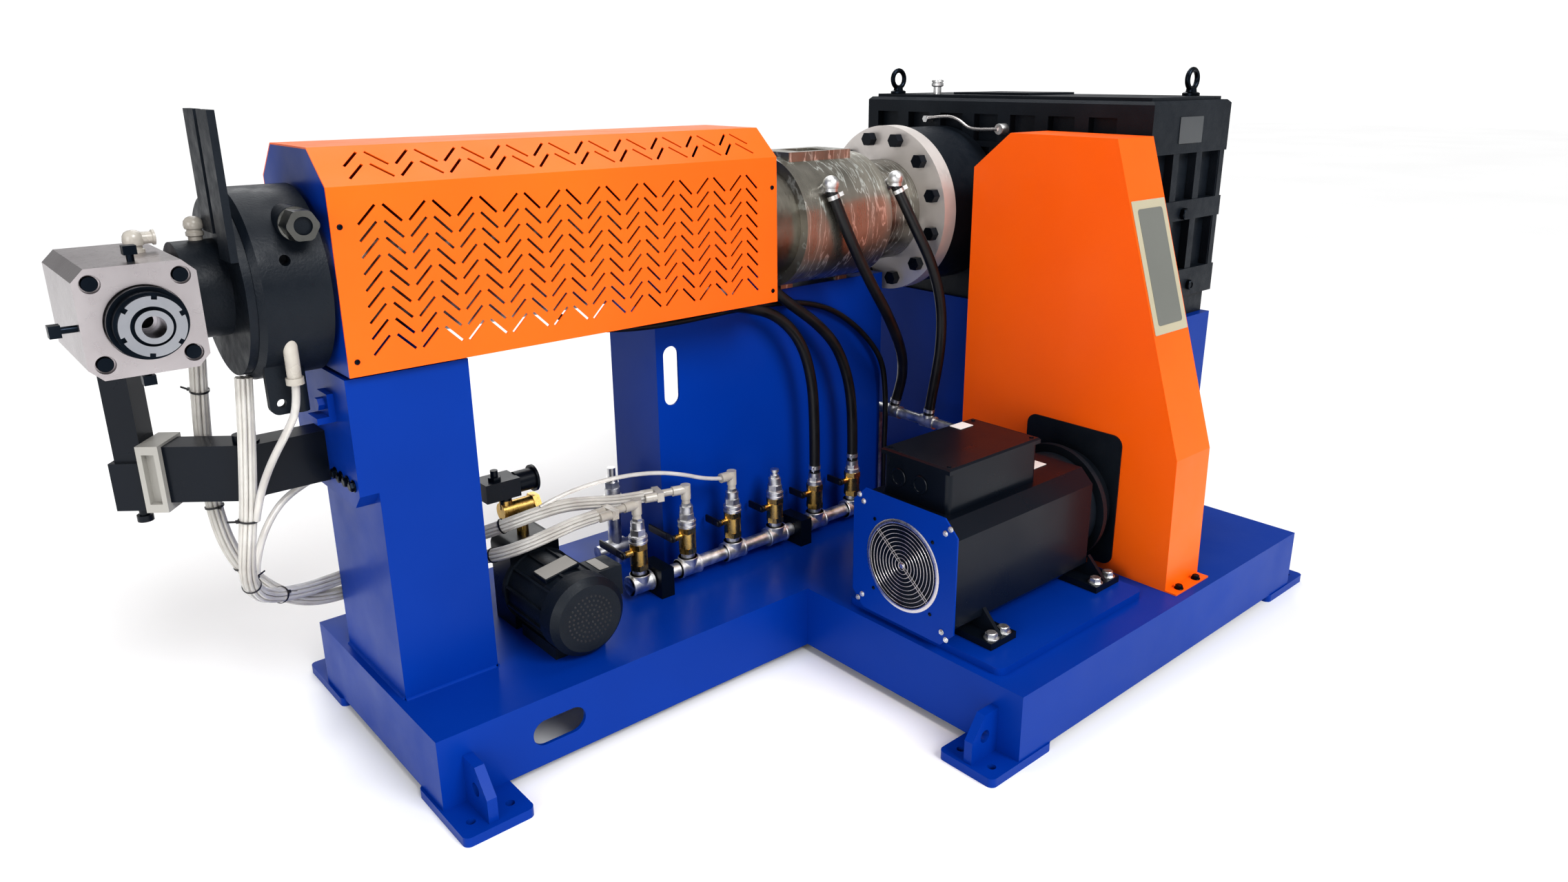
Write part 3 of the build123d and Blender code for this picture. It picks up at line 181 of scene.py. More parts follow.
MATERIALS = {
    "blue_paint": paint("blue_paint", (0.0002, 0.032, 0.240), (0.0004, 0.041, 0.300), 0.34, 0.0, shine=0.13),
    "orange_paint": paint("orange_paint", (0.89, 0.118, 0.002), (0.96, 0.148, 0.003), 0.42, 0.1, 0.2),
    "black_iron": casting("black_iron", (0.005, 0.008, 0.013), (0.011, 0.015, 0.021), 0.42, 220),
    "black_paint": paint("black_paint", (0.002, 0.004, 0.008), (0.005, 0.008, 0.014), 0.30, 0.08, shine=0.2),
    "grey_paint": paint("grey_paint", (0.30, 0.29, 0.27), (0.40, 0.39, 0.36), 0.45, 0.1),
    "steel": metal("steel", (0.60, 0.57, 0.56), (0.70, 0.67, 0.66), 0.27, (9, 1, 1)),
    "dark_steel": metal("dark_steel", (0.007, 0.011, 0.017), (0.018, 0.023, 0.031), 0.34, (4, 1, 4)),
    "brass": metal("brass", (0.44, 0.28, 0.08), (0.70, 0.48, 0.17), 0.28, (3, 3, 1)),
    "galvanised": zinc("galvanised", (0.50, 0.50, 0.50), (0.76, 0.76, 0.76)),
    "lever_black": moulded("lever_black", (0.004, 0.004, 0.006), (0.010, 0.010, 0.012), 0.35),
    "black_rubber": moulded("black_rubber", (0.003, 0.003, 0.004), (0.008, 0.008, 0.009), 0.40, shine=0.4),
    "clear_tube": moulded("clear_tube", (0.66, 0.63, 0.59), (0.88, 0.86, 0.82), 0.10, 0.45),
    "white_plastic": moulded("white_plastic", (0.36, 0.33, 0.29), (0.50, 0.47, 0.42), 0.24, 0.1),
}


# Steel under a thin wrinkled film, with painted highlights: pale lines of base colour along the folds stand
# in for glints on the film
def filmed(name, dark, light):
    material, tree, shader = new_material(name)
    shader.inputs["Metallic"].default_value = 0.75
    under = ramp(tree, noise(tree, 5, 4), ((0.36, dark), (0.64, light)))
    folds = noise(tree, 9, 8, (2.6, 0.55, 0.55))
    # Painted highlight: narrow bands of the fold noise take a pale colour in place of the film's glints
    fold_highlights = ramp(tree, folds, ((0.485, (0, 0, 0)), (0.5, (1, 1, 1)), (0.515, (0, 0, 0)),
                               (0.592, (0, 0, 0)), (0.6, (0.7, 0.7, 0.7)), (0.61, (0, 0, 0))))
    mixed = tree.nodes.new("ShaderNodeMixRGB")
    mixed.inputs["Color2"].default_value = (0.62, 0.64, 0.60, 1)
    tree.links.new(fold_highlights, mixed.inputs["Fac"])
    tree.links.new(under, mixed.inputs["Color1"])
    tree.links.new(mixed.outputs["Color"], shader.inputs["Base Color"])
    tree.links.new(spread(tree, folds, 0.22, 0.48), shader.inputs["Roughness"])
    shader.inputs["Coat Weight"].default_value = 0.5
    shader.inputs["Coat Roughness"].default_value = 0.08
    bump(tree, shader, folds, 0.55, 0.004)
    return material


FILMED = filmed("filmed_steel", (0.11, 0.105, 0.09), (0.33, 0.31, 0.265))
HEAD_STEEL = metal("head_steel", (0.40, 0.37, 0.38), (0.49, 0.46, 0.47), 0.30, (1, 9, 1), relief=0.0)
RING_STEEL = metal("ring_steel", (0.30, 0.31, 0.34), (0.42, 0.43, 0.46), 0.22, (1, 9, 1), relief=0.0)
FLANGE_STEEL = metal("flange_steel", (0.70, 0.65, 0.62), (0.80, 0.75, 0.72), 0.36, (9, 1, 1), relief=0.0,
                     metallic=0.6)
BOLT_STEEL = metal("bolt_steel", (0.10, 0.10, 0.095), (0.18, 0.18, 0.17), 0.32, (4, 1, 4))
WHITE_LABEL = moulded("white_label", (0.66, 0.66, 0.64), (0.76, 0.76, 0.74), 0.35)
BARREL_STEEL = metal("barrel_steel", (0.16, 0.15, 0.125), (0.30, 0.28, 0.24), 0.34, (9, 1, 1))
BEIGE = paint("beige_paint", (0.42, 0.38, 0.27), (0.50, 0.46, 0.34), 0.5, 0.1)
PLATE_GREY = paint("plate_grey", (0.15, 0.155, 0.14), (0.19, 0.195, 0.18), 0.5, 0.1)
PLATE_DARK = paint("plate_dark", (0.05, 0.055, 0.06), (0.08, 0.085, 0.09), 0.4, 0.1)
OWN_LOOK = {
    "feed_section": FILMED, "barrel": BARREL_STEEL, "crosshead_block": HEAD_STEEL, "die_rings": RING_STEEL,
    "barrel_flange": FLANGE_STEEL,
}


# Narrow bevels that catch light, on edges that are sharper than this angle
EDGE_ANGLE = radians(35)


def soften(thing, width):
    edge = thing.modifiers.new("soft_edge", "BEVEL")
    edge.width = width
    edge.segments = 2
    edge.limit_method = "ANGLE"
    edge.angle_limit = EDGE_ANGLE


# CAD nodes take the material of their record slot, and the larger ones a soft edge.
SOFT_EDGE = {
    "base_limb": 0.004, "base_platform": 0.004, "front_pillar": 0.003, "pillar_front_plate": 0.002,
    "stand_front": 0.0015, "stand_frame": 0.0015, "gearbox_pedestal": 0.003, "gearbox_housing": 0.006,
    "belt_guard": 0.0035, "motor_fan_plate": 0.0012, "terminal_box": 0.003, "motor_body": 0.006,
    "output_hub": 0.004, "barrel_flange": 0.002, "crosshead_block": 0.0015,
    "clamp_housing": 0.002, "support_arm": 0.002, "support_post": 0.0015, "arm_end_bracket": 0.0015,
    "foot_plates": 0.0015, "motor_slide_plate": 0.002, "pump_motor": 0.002, "pump_body": 0.002,
}
for part in frame["record"]["subparts"]:
    node = frame["nodes"][part["node"]]
    material = OWN_LOOK.get(part["node"], MATERIALS[part["material_slot"]])
    if not node.material_slots:
        node.data.materials.append(material)
    for place in node.material_slots:
        place.material = material
    if part["node"] in SOFT_EDGE:
        soften(node, SOFT_EDGE[part["node"]])


# Mesh helpers. A place is the point and the direction in which a piece is built up.
def facing(point, direction, spin=0.0):
    turn = Vector(direction).to_track_quat("Z", "Y").to_matrix().to_4x4()
    return Matrix.Translation(point) @ turn @ Matrix.Rotation(spin, 4, "Z")


# Faces between neighbouring rows of points, each row being a closed loop
def wrap(mesh, rows):
    for low, high in zip(rows, rows[1:]):
        for k in range(len(low)):
            n = (k + 1) % len(low)
            mesh.faces.new((low[k], low[n], high[n], high[k]))


def cap(mesh, rows):
    mesh.faces.new(list(reversed(rows[0])))
    mesh.faces.new(rows[-1])


def circle(mesh, radius, height, place, segments):
    row = []
    for k in range(segments):
        angle = 2 * pi * k / segments
        row.append(mesh.verts.new(place @ Vector((radius * cos(angle), radius * sin(angle), height))))
    return row


# A solid turned body: its profile is a list of radii and heights from one end to the other.
def lathe(mesh, profile, place, segments=24):
    rows = [circle(mesh, radius, height, place, segments) for radius, height in profile]
    wrap(mesh, rows)
    cap(mesh, rows)


# A turned ring: its outline runs all the way round its section.
def ring(mesh, outline, place, segments=40):
    rows = [circle(mesh, radius, height, place, segments) for radius, height in outline]
    wrap(mesh, rows + rows[:1])


def wire_ring(mesh, radius, wire, height, place, segments=56, sides=8):
    turns = [2 * pi * k / sides for k in range(sides)]
    ring(mesh, [(radius + wire * cos(turn), height + wire * sin(turn)) for turn in turns], place, segments)


def prism(mesh, outline, low, high, place):
    bottom = [mesh.verts.new(place @ Vector((x, y, low))) for x, y in outline]
    top = [mesh.verts.new(place @ Vector((x, y, high))) for x, y in outline]
    wrap(mesh, [bottom, top])
    cap(mesh, [bottom, top])


def rounded(width, height, radius, steps=5):
    points = []
    corners = ((1, 1, 0), (-1, 1, 90), (-1, -1, 180), (1, -1, 270))
    for sx, sy, start in corners:
        for k in range(steps + 1):
            angle = radians(start + 90 * k / steps)
            x = sx * (width / 2 - radius) + radius * cos(angle)
            y = sy * (height / 2 - radius) + radius * sin(angle)
            points.append((x, y))
    return points


def hexagon(across):
    radius = across / 2 / cos(pi / 6)
    return [(radius * cos(pi / 3 * k), radius * sin(pi / 3 * k)) for k in range(6)]


def piece(name, mesh, material, body="machine", bevel=0.0):
    data = bpy.data.meshes.new(name)
    bmesh.ops.recalc_face_normals(mesh, faces=mesh.faces)
    mesh.to_mesh(data)
    mesh.free()
    data.materials.append(material)
    thing = bpy.data.objects.new(name, data)
    bpy.context.collection.objects.link(thing)
    if bevel:
        soften(thing, bevel)
    for face in data.polygons:
        face.use_smooth = len(face.vertices) == 4
    data.set_sharp_from_angle(angle=EDGE_ANGLE)
    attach(thing, body)
    return thing


# Cords: each route repeats the points of its CAD tube, in metres.
def spline_curve(name, route):
    curve = bpy.data.curves.new(name, "CURVE")
    curve.dimensions = "3D"
    curve.resolution_u = 8
    spline = curve.splines.new("NURBS")
    spline.points.add(len(route) - 1)
    for point, place in zip(spline.points, route):
        point.co = (*place, 1)
    spline.order_u = 3
    spline.use_endpoint_u = True
    return curve


def line_of(route):
    holder = bpy.data.objects.new("line", spline_curve("line", route))
    line = bpy.data.meshes.new_from_object(holder)
    points = [vertex.co.copy() for vertex in line.vertices]
    bpy.data.objects.remove(holder)
    bpy.data.meshes.remove(line)
    return points


def run_length(points):
    return sum((b - a).length for a, b in zip(points, points[1:]))


# A round tube along a route
def tube(name, route, radius, slot, roundness):
    curve = spline_curve(name, route)
    curve.bevel_depth = radius
    curve.bevel_resolution = roundness
    curve.use_fill_caps = True
    curve.materials.append(MATERIALS[slot])
    thing = bpy.data.objects.new(name, curve)
    bpy.context.collection.objects.link(thing)
    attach(thing, "machine")
    return thing


# A cable tie: a flat band around the line with its small lock and a cut tail.
def tie(mesh, point, ahead, radius, width=0.0036, spin=0.0):
    place = facing(point, ahead, spin)
    half = width / 2
    face = radius + 0.0013
    ring(mesh, ((radius, -half), (face, -half), (face, half), (radius, half)), place, 28)
    near = radius + 0.0005
    far = radius + 0.0055
    prism(mesh, [(near, -0.003), (far, -0.003), (far, 0.003), (near, 0.003)], -1.4 * half, 1.4 * half, place)
    tip = radius + 0.019
    prism(mesh, [(far, -0.001), (tip, 0.004), (tip, 0.0053), (far, 0.0006)], -half, half, place)


# Steel clamps of the hoses: their distance from the hose's end, their width, play and turn
CLAMP_IN = 0.015
CLAMP_WIDTH = 0.010
CLAMP_PLAY = 0.0002
CLAMP_SPIN = 0.6


# A hose with a steel clamp near the ends that are named by their place in the route
def hose(name, route, radius, node, slot, clamped=()):
    bands = bmesh.new()
    for end in clamped:
        start = Vector(route[end])
        ahead = (Vector(route[end + 1 if end == 0 else end - 1]) - start).normalized()
        tie(bands, start + ahead * CLAMP_IN, ahead, radius + CLAMP_PLAY, CLAMP_WIDTH, CLAMP_SPIN)
    pieces = [piece(name + "_clamps", bands, MATERIALS["galvanised"])] if clamped else []
    thing = tube(name, route, radius, slot, 5)
    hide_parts(node)
    run_length(line_of(route))


# The frame of a line at each of its points: the point, a side and the direction across both.
def carried_frames(points):
    frames = []
    side = None
    for k, point in enumerate(points):
        ahead = points[min(k + 1, len(points) - 1)] - points[max(k - 1, 0)]
        ahead.normalize()
        if side is None:
            side = ahead.orthogonal()
        side = (side - ahead * side.dot(ahead)).normalized()
        frames.append((point, side, ahead.cross(side)))
    return frames


# A bundle of clear tubes: three in the middle and nine around them. The bundle twists a little along
# its length, and each tube waves inwards by up to BUNDLE_WAVE.
STRAND_R = 0.0038
STRAND_SIDES = 8
INNER_OFF = 0.0044
OUTER_OFF = 0.0120
STRANDS = [(INNER_OFF, 120 * k) for k in range(3)] + [(OUTER_OFF, 40 * k + 15) for k in range(9)]
BUNDLE_TWIST = 1.1
BUNDLE_WAVE = 0.0009
WAVE_TURN = 9
WAVE_SHIFT = 2.1


def strands(mesh, points):
    frames = carried_frames(points)
    for number, (off, start) in enumerate(STRANDS):
        rows = []
        gone = 0.0
        for k, (point, side, across) in enumerate(frames):
            if k:
                gone += (point - frames[k - 1][0]).length
            angle = radians(start) + BUNDLE_TWIST * gone
            reach = off - BUNDLE_WAVE * (1 + sin(WAVE_TURN * gone + WAVE_SHIFT * number)) / 2
            centre = point + (side * cos(angle) + across * sin(angle)) * reach
            row = []
            for s in range(STRAND_SIDES):
                turn = 2 * pi * s / STRAND_SIDES
                row.append(mesh.verts.new(centre + (side * cos(turn) + across * sin(turn)) * STRAND_R))
            rows.append(row)
        wrap(mesh, rows)
        cap(mesh, rows)


# Water hoses and the harness of the heaters
HOSE_R = 0.014
HOSE_1 = [
    (0.278, 0.192, 0.345),
    (0.278, 0.192, 0.480),
    (0.268, 0.193, 0.610),
    (0.232, 0.198, 0.715),
    (0.165, 0.212, 0.785),
    (0.075, 0.222, 0.815),
    (-0.020, 0.226, 0.830),
    (-0.110, 0.229, 0.852),
    (-0.165, 0.231, 0.884),
]
HOSE_2 = [
    (0.4175, 0.192, 0.345),
    (0.4175, 0.192, 0.460),
    (0.404, 0.195, 0.575),
    (0.362, 0.199, 0.675),
    (0.300, 0.206, 0.740),
    (0.240, 0.213, 0.785),
    (0.190, 0.220, 0.822),
    (0.150, 0.226, 0.858),
    (0.131, 0.229, 0.885),
]
HOSE_3 = [
    (0.271, 0.128, 1.082),
    (0.292, 0.104, 1.000),
    (0.375, 0.104, 0.865),
    (0.468, 0.112, 0.745),
    (0.548, 0.140, 0.640),
    (0.604, 0.185, 0.560),
    (0.618, 0.212, 0.495),
    (0.616, 0.225, 0.455),
]
HOSE_4 = [
    (0.500, 0.132, 1.080),
    (0.530, 0.096, 0.985),
    (0.575, 0.066, 0.880),
    (0.608, 0.058, 0.770),
    (0.614, 0.060, 0.660),
    (0.612, 0.074, 0.560),
    (0.614, 0.088, 0.500),
    (0.616, 0.096, 0.455),
]
HARNESS_R = 0.0075
HARNESS = [
    (-0.430, 0.246, 0.872),
    (-0.400, 0.246, 0.848),
    (-0.340, 0.246, 0.820),
    (-0.230, 0.246, 0.804),
    (-0.100, 0.246, 0.800),
    (0.050, 0.246, 0.806),
    (0.170, 0.246, 0.805),
    (0.280, 0.246, 0.794),
    (0.380, 0.246, 0.764),
    (0.460, 0.246, 0.715),
    (0.525, 0.240, 0.655),
    (0.570, 0.233, 0.590),
    (0.582, 0.230, 0.510),
    (0.584, 0.229, 0.420),
    (0.583, 0.231, 0.330),
    (0.583, 0.229, 0.245),
    (0.584, 0.231, 0.170),
]
for name, route, radius, node, ends in (
    ("water_hose_1", HOSE_1, HOSE_R, "hose_1", (0,)),
    ("water_hose_2", HOSE_2, HOSE_R, "hose_2", (0,)),
    ("water_hose_3", HOSE_3, HOSE_R, "hose_3", (0, -1)),
    ("water_hose_4", HOSE_4, HOSE_R, "hose_4", (0, -1)),
    ("heater_harness", HARNESS, HARNESS_R, "cable_harness", ()),
):
    hose(name, route, radius, node, "black_rubber", clamped=ends)

# Tube bundles between the head and the manifold
BUNDLE_R = 0.016
BUNDLE_FRONT = [
    (-1.041, 0.250, 0.843),
    (-1.048, 0.250, 0.765),
    (-1.058, 0.250, 0.680),
    (-1.068, 0.250, 0.600),
    (-1.080, 0.252, 0.530),
    (-1.085, 0.268, 0.466),
    (-1.070, 0.304, 0.412),
    (-1.036, 0.344, 0.376),
    (-0.990, 0.382, 0.352),
    (-0.940, 0.420, 0.332),
    (-0.874, 0.456, 0.318),
    (-0.792, 0.480, 0.313),
    (-0.710, 0.485, 0.319),
    (-0.658, 0.457, 0.335),
    (-0.629, 0.406, 0.354),
    (-0.614, 0.348, 0.376),
    (-0.594, 0.296, 0.400),
    (-0.560, 0.256, 0.422),
    (-0.508, 0.235, 0.437),
    (-0.444, 0.232, 0.439),
    (-0.374, 0.238, 0.424),
    (-0.3047, 0.236, 0.408),
    (-0.2429, 0.2194, 0.408),
]
BUNDLE_REAR = [
    (-1.078, 0.356, 0.942),
    (-1.078, 0.392, 0.862),
    (-1.081, 0.416, 0.775),
    (-1.086, 0.424, 0.690),
    (-1.089, 0.424, 0.610),
    (-1.088, 0.419, 0.540),
    (-1.077, 0.414, 0.470),
    (-1.050, 0.414, 0.405),
    (-1.006, 0.421, 0.345),
    (-0.948, 0.438, 0.302),
    (-0.878, 0.462, 0.280),
    (-0.792, 0.484, 0.274),
    (-0.710, 0.488, 0.280),
    (-0.658, 0.459, 0.294),
    (-0.629, 0.407, 0.310),
    (-0.622, 0.346, 0.328),
    (-0.610, 0.288, 0.346),
    (-0.586, 0.238, 0.366),
    (-0.544, 0.206, 0.385),
    (-0.490, 0.192, 0.400),
    (-0.436, 0.192, 0.408),
    (-0.386, 0.192, 0.408),
]

# Lengths along each bundle at which it is tied, and the turn of the ties per metre
BUNDLE_TIES_FRONT = (0.267, 0.420, 0.545, 0.905, 1.160)
BUNDLE_TIES_REAR = (0.160, 0.395, 0.530, 1.215)
TIE_TURN = 5


# A bundle is shown as its separate tubes, with a tie at each of the places along it.
def bundle(name, route, node, places):
    points = line_of(route)
    band = bmesh.new()
    gone = 0.0
    marks = list(places)
    for a, b in zip(points, points[1:]):
        step = (b - a).length
        while marks and gone + step >= marks[0]:
            at = a + (b - a) * ((marks[0] - gone) / step)
            tie(band, at, b - a, BUNDLE_R, spin=TIE_TURN * marks[0])
            marks.pop(0)
        gone += step
    ties = piece(name + "_ties", band, MATERIALS["lever_black"])
    mesh = bmesh.new()
    strands(mesh, points)
    thing = piece(name, mesh, MATERIALS["clear_tube"])
    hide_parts(node)


bundle("clear_bundle_front", BUNDLE_FRONT, "tube_bundle_front", BUNDLE_TIES_FRONT)
bundle("clear_bundle_rear", BUNDLE_REAR, "tube_bundle_rear", BUNDLE_TIES_REAR)

# Single clear tubes
TUBE_R = 0.007
TUBE_CLAMP = [
    (-0.985, 0.150, 0.841),
    (-0.986, 0.156, 0.796),
    (-1.002, 0.177, 0.752),
    (-1.023, 0.200, 0.706),
    (-1.041, 0.219, 0.659),
    (-1.054, 0.234, 0.612),
    (-1.061, 0.241, 0.578),
]
TUBE_PILLAR = [
    (-0.908, 0.358, 0.594),
    (-0.948, 0.356, 0.580),
    (-0.986, 0.351, 0.560),
    (-1.014, 0.342, 0.533),
    (-1.037, 0.330, 0.502),
    (-1.053, 0.319, 0.468),
    (-1.060, 0.312, 0.444),
]
TUBE_ELBOW_R = 0.005
TUBE_ELBOW = [
    (-0.500, 0.234, 0.449),
    (-0.452, 0.233, 0.463),
    (-0.372, 0.229, 0.472),
    (-0.290, 0.219, 0.473),
    (-0.210, 0.208, 0.464),
    (-0.138, 0.198, 0.443),
    (-0.080, 0.192, 0.418),
    (-0.035, 0.192, 0.408),
]
hose("clear_tube_clamp", TUBE_CLAMP, TUBE_R, "tube_clamp", "clear_tube")
hose("clear_tube_pillar", TUBE_PILLAR, TUBE_R, "tube_pillar", "clear_tube")
hose("clear_tube_elbow", TUBE_ELBOW, TUBE_ELBOW_R, "tube_elbow", "clear_tube")


# Directions, with the motor in front and the head on the left
UP = (0, 0, 1)
FRONT = (0, -1, 0)
BACK = (0, 1, 0)
LEFT = (-1, 0, 0)
RIGHT = (1, 0, 0)

# Small fasteners that the CAD leaves to the scene. The size of a hexagon head is its width across the
# flats, its height and the width of its washer.
PLATE_BOLT = (0.017, 0.009, 0.024)
MOTOR_BOLT = (0.024, 0.014, 0.034)
GUARD_BOLT = (0.016, 0.010, 0.022)
FAN_PLATE_SCREW = (0.0085, 0.005, 0.013)
GEARBOX_PLUG = (0.026, 0.012, 0.0)
STEM_NUT = (0.010, 0.005, 0.0)


def hex_bolt(mesh, point, direction, size, spin=0.2):
    across, height, washer = size
    place = facing(point, direction, spin)
    foot = 0.0
    if washer:
        rim = washer / 2
        lathe(mesh, ((rim, 0), (rim, 0.0018), (rim - 0.0006, 0.0024)), place)
        foot = 0.0022
    shoulder = height * 0.86
    prism(mesh, hexagon(across), foot, shoulder, place)
    lathe(mesh, ((across * 0.47, shoulder), (across * 0.42, height)), place)


def socket_screw(mesh, point, direction, radius, height, spin=0.0):
    place = facing(point, direction, spin)
    edge = radius * 0.93
    lathe(mesh, ((radius, 0), (radius, height * 0.85), (edge, height), (radius * 0.55, height)), place)
    prism(mesh, hexagon(radius * 0.95), height * 0.2, height * 0.45, place)


# Socket screws in the corners of the head's face, with their heads just below it
HEAD_SCREW_X = (-1.258, -1.135)
HEAD_SCREW_Z = (0.928, 1.053)
HEAD_SCREW_SEAT = HEAD_LOW.y + 0.012
HEAD_SCREW_R = 0.0118
HEAD_SCREW_H = 0.010
mesh = bmesh.new()
for x in HEAD_SCREW_X:
    for z in HEAD_SCREW_Z:
        socket_screw(mesh, (x, HEAD_SCREW_SEAT, z), FRONT, HEAD_SCREW_R, HEAD_SCREW_H, x * 9 + z)
piece("head_screws", mesh, MATERIALS["dark_steel"])

# A row of bolts on the pillar's front plate
PLATE_THICK = 0.036
PLATE_BOLT_Y = [0.160 + 0.031 * k for k in range(4)]
PLATE_BOLT_Z = 0.628
mesh = bmesh.new()
for k, y in enumerate(PLATE_BOLT_Y):
    hex_bolt(mesh, (PILLAR_LOW.x - PLATE_THICK, y, PLATE_BOLT_Z), LEFT, PLATE_BOLT, 0.3 * k)
piece("plate_bolts", mesh, MATERIALS["dark_steel"])

# Bolts through the motor's feet
MOTOR_BOLT_X = (0.137, 0.178, 0.527, 0.578)
MOTOR_BOLT_OUT = 0.187
mesh = bmesh.new()
for x in MOTOR_BOLT_X:
    for y in (MOTOR_Y - MOTOR_BOLT_OUT, MOTOR_Y + MOTOR_BOLT_OUT):
        hex_bolt(mesh, (x, y, MOTOR_LOW.z), UP, MOTOR_BOLT, x)
piece("motor_foot_bolts", mesh, MATERIALS["galvanised"])

# Flat screws near both ends of the cover's sides
COVER_SCREW_X = (COVER_LOW.x + 0.016, COVER_HIGH.x - 0.014)
COVER_SCREW_Z = (1.105, 0.868)
COVER_SCREW = ((0.0052, 0), (0.0048, 0.0014), (0.0030, 0.0022))
mesh = bmesh.new()
for x in COVER_SCREW_X:
    for z in COVER_SCREW_Z:
        for y, way in ((COVER_LOW.y, FRONT), (COVER_HIGH.y, BACK)):
            lathe(mesh, COVER_SCREW, facing((x, y, z), way), 16)
piece("cover_screws", mesh, MATERIALS["dark_steel"])

# Domes and the release collar of the push-in fittings on the head and on the neck
HEAD_FITTING_X = -1.168
HEAD_FITTING_Y = 0.260
HEAD_OUTLET_X = HEAD_FITTING_X + 0.026
HEAD_OUTLET_Z = HEAD_HIGH.z + 0.022
NECK_FITTING_X = -1.071
HEAD_DOME = (
    (0.0150, 0.0), (0.0150, 0.0050), (0.0118, 0.0065), (0.0118, 0.0095), (0.0150, 0.0120),
    (0.0162, 0.0190), (0.0150, 0.0270), (0.0118, 0.0325), (0.0070, 0.0352), (0.0015, 0.0362),
)
NECK_DOME = (
    (0.0112, 0.0), (0.0112, 0.0060), (0.0140, 0.0080), (0.0140, 0.0140), (0.0118, 0.0155),
    (0.0118, 0.0180), (0.0145, 0.0200), (0.0158, 0.0255), (0.0145, 0.0325), (0.0105, 0.0375),
    (0.0055, 0.0398), (0.0010, 0.0403),
)
RELEASE_COLLAR = ((0.0105, 0.0), (0.0125, 0.0015), (0.0125, 0.0050), (0.0085, 0.0060))
mesh = bmesh.new()
lathe(mesh, HEAD_DOME, facing((HEAD_FITTING_X, HEAD_FITTING_Y, HEAD_HIGH.z), UP), 28)
lathe(mesh, NECK_DOME, facing((NECK_FITTING_X, AXIS_Y, NECK_HIGH.z), UP), 28)
lathe(mesh, RELEASE_COLLAR, facing((HEAD_OUTLET_X, HEAD_FITTING_Y, HEAD_OUTLET_Z), RIGHT), 28)
piece("fitting_domes", mesh, MATERIALS["white_plastic"])

# Two screws across each corner of the motor's fan plate
CORNER_OUT = 0.125
CORNER_IN = 0.0255
CORNER_STEP = 0.0065
mesh = bmesh.new()
for sy in (-1, 1):
    for level, way in ((FAN_PLATE_LOW.z, 1), (FAN_PLATE_HIGH.z, -1)):
        for step in (-CORNER_STEP, CORNER_STEP):
            y = MOTOR_Y + sy * (CORNER_OUT + step)
            z = level + way * (CORNER_IN - step)
            hex_bolt(mesh, (FAN_PLATE_LOW.x, y, z), LEFT, FAN_PLATE_SCREW, y * 40)
piece("fan_plate_screws", mesh, MATERIALS["galvanised"])


# Hexagon nut with a round hole and chamfered corners. Each row has its level and how far its corners
# may reach, as a share of half the width. A row without a share lies on the hole.
def nut(mesh, across, hole, height, place, segments=48):
    rows = []
    for level, share in ((0.0, 1.2), (height * 0.88, 1.2), (height, 1.08), (height, 0.0), (0.0, 0.0)):
        row = []
        for k in range(segments):
            angle = 2 * pi * k / segments
            edge = across / 2 / cos((angle + pi / 6) % (pi / 3) - pi / 6)
            reach = min(edge, across / 2 * share) if share else hole
            row.append(mesh.verts.new(place @ Vector((reach * cos(angle), reach * sin(angle), level))))
        rows.append(row)
    wrap(mesh, rows + rows[:1])


# Bright sleeve over the clamp's nut, with a washer behind it
CLAMP_NUT = (-0.951, 0.140, 1.115)
SLEEVE_ACROSS = 0.0492
SLEEVE_HOLE = 0.0152
SLEEVE_LENGTH = 0.0402
SLEEVE_WASHER = ((0.0250, 0.0002), (0.0285, 0.0002), (0.0285, 0.0030), (0.0250, 0.0035))
mesh = bmesh.new()
sleeve = facing(CLAMP_NUT, FRONT, pi / 6)
nut(mesh, SLEEVE_ACROSS, SLEEVE_HOLE, SLEEVE_LENGTH, sleeve)
ring(mesh, SLEEVE_WASHER, sleeve, 36)
piece("clamp_nut", mesh, BOLT_STEEL)

# Wire grille of the fan: fine rings inside a pressed rim and a double bar across them
FAN_RINGS = [0.0095 + 0.0092 * k for k in range(10)]
FAN_WIRE_R = 0.0009
FAN_WIRE_OUT = 0.0015
FAN_RIM = ((0.0965, -0.003), (0.0990, -0.003), (0.1000, 0.0), (0.1060, 0.0), (0.1060, 0.0010),
           (0.0995, 0.0028), (0.0965, 0.0020))
FAN_BAR = ((0.0011, 0.001), (0.0011, 0.0970))
FAN_BAR_X = FAN_PLATE_LOW.x + 0.001
FAN_BAR_OFF = 0.0032
FAN_BAR_SLANT = radians(-50)
FAN_HUB = ((0.0062, -0.0020), (0.0062, 0.0015), (0.0050, 0.0026))
mesh = bmesh.new()
fan_face = facing((FAN_PLATE_LOW.x, MOTOR_Y, MOTOR_Z), LEFT)
for reach in FAN_RINGS:
    wire_ring(mesh, reach, FAN_WIRE_R, FAN_WIRE_OUT, fan_face)
ring(mesh, FAN_RIM, fan_face, 72)
slant = Matrix.Translation((FAN_BAR_X, MOTOR_Y, MOTOR_Z)) @ Matrix.Rotation(FAN_BAR_SLANT, 4, "X")
for side in (-1, 1):
    for way in (-1, 1):
        lathe(mesh, FAN_BAR, slant @ facing((0, FAN_BAR_OFF * side, 0), (0, 0, way)), 8)
lathe(mesh, FAN_HUB, fan_face, 24)
fan_wires = piece("fan_wires", mesh, MATERIALS["steel"])
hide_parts("fan_grille")

# Four screws around the grille
FAN_SCREW_OFF = 0.084
FAN_SCREW = ((0.0042, 0.0001), (0.0042, 0.0014), (0.0026, 0.0024))
mesh = bmesh.new()
for sy in (-1, 1):
    for sz in (-1, 1):
        spot = (FAN_PLATE_LOW.x, MOTOR_Y + sy * FAN_SCREW_OFF, MOTOR_Z + sz * FAN_SCREW_OFF)
        lathe(mesh, FAN_SCREW, facing(spot, LEFT), 14)
piece("fan_screws", mesh, MATERIALS["dark_steel"])

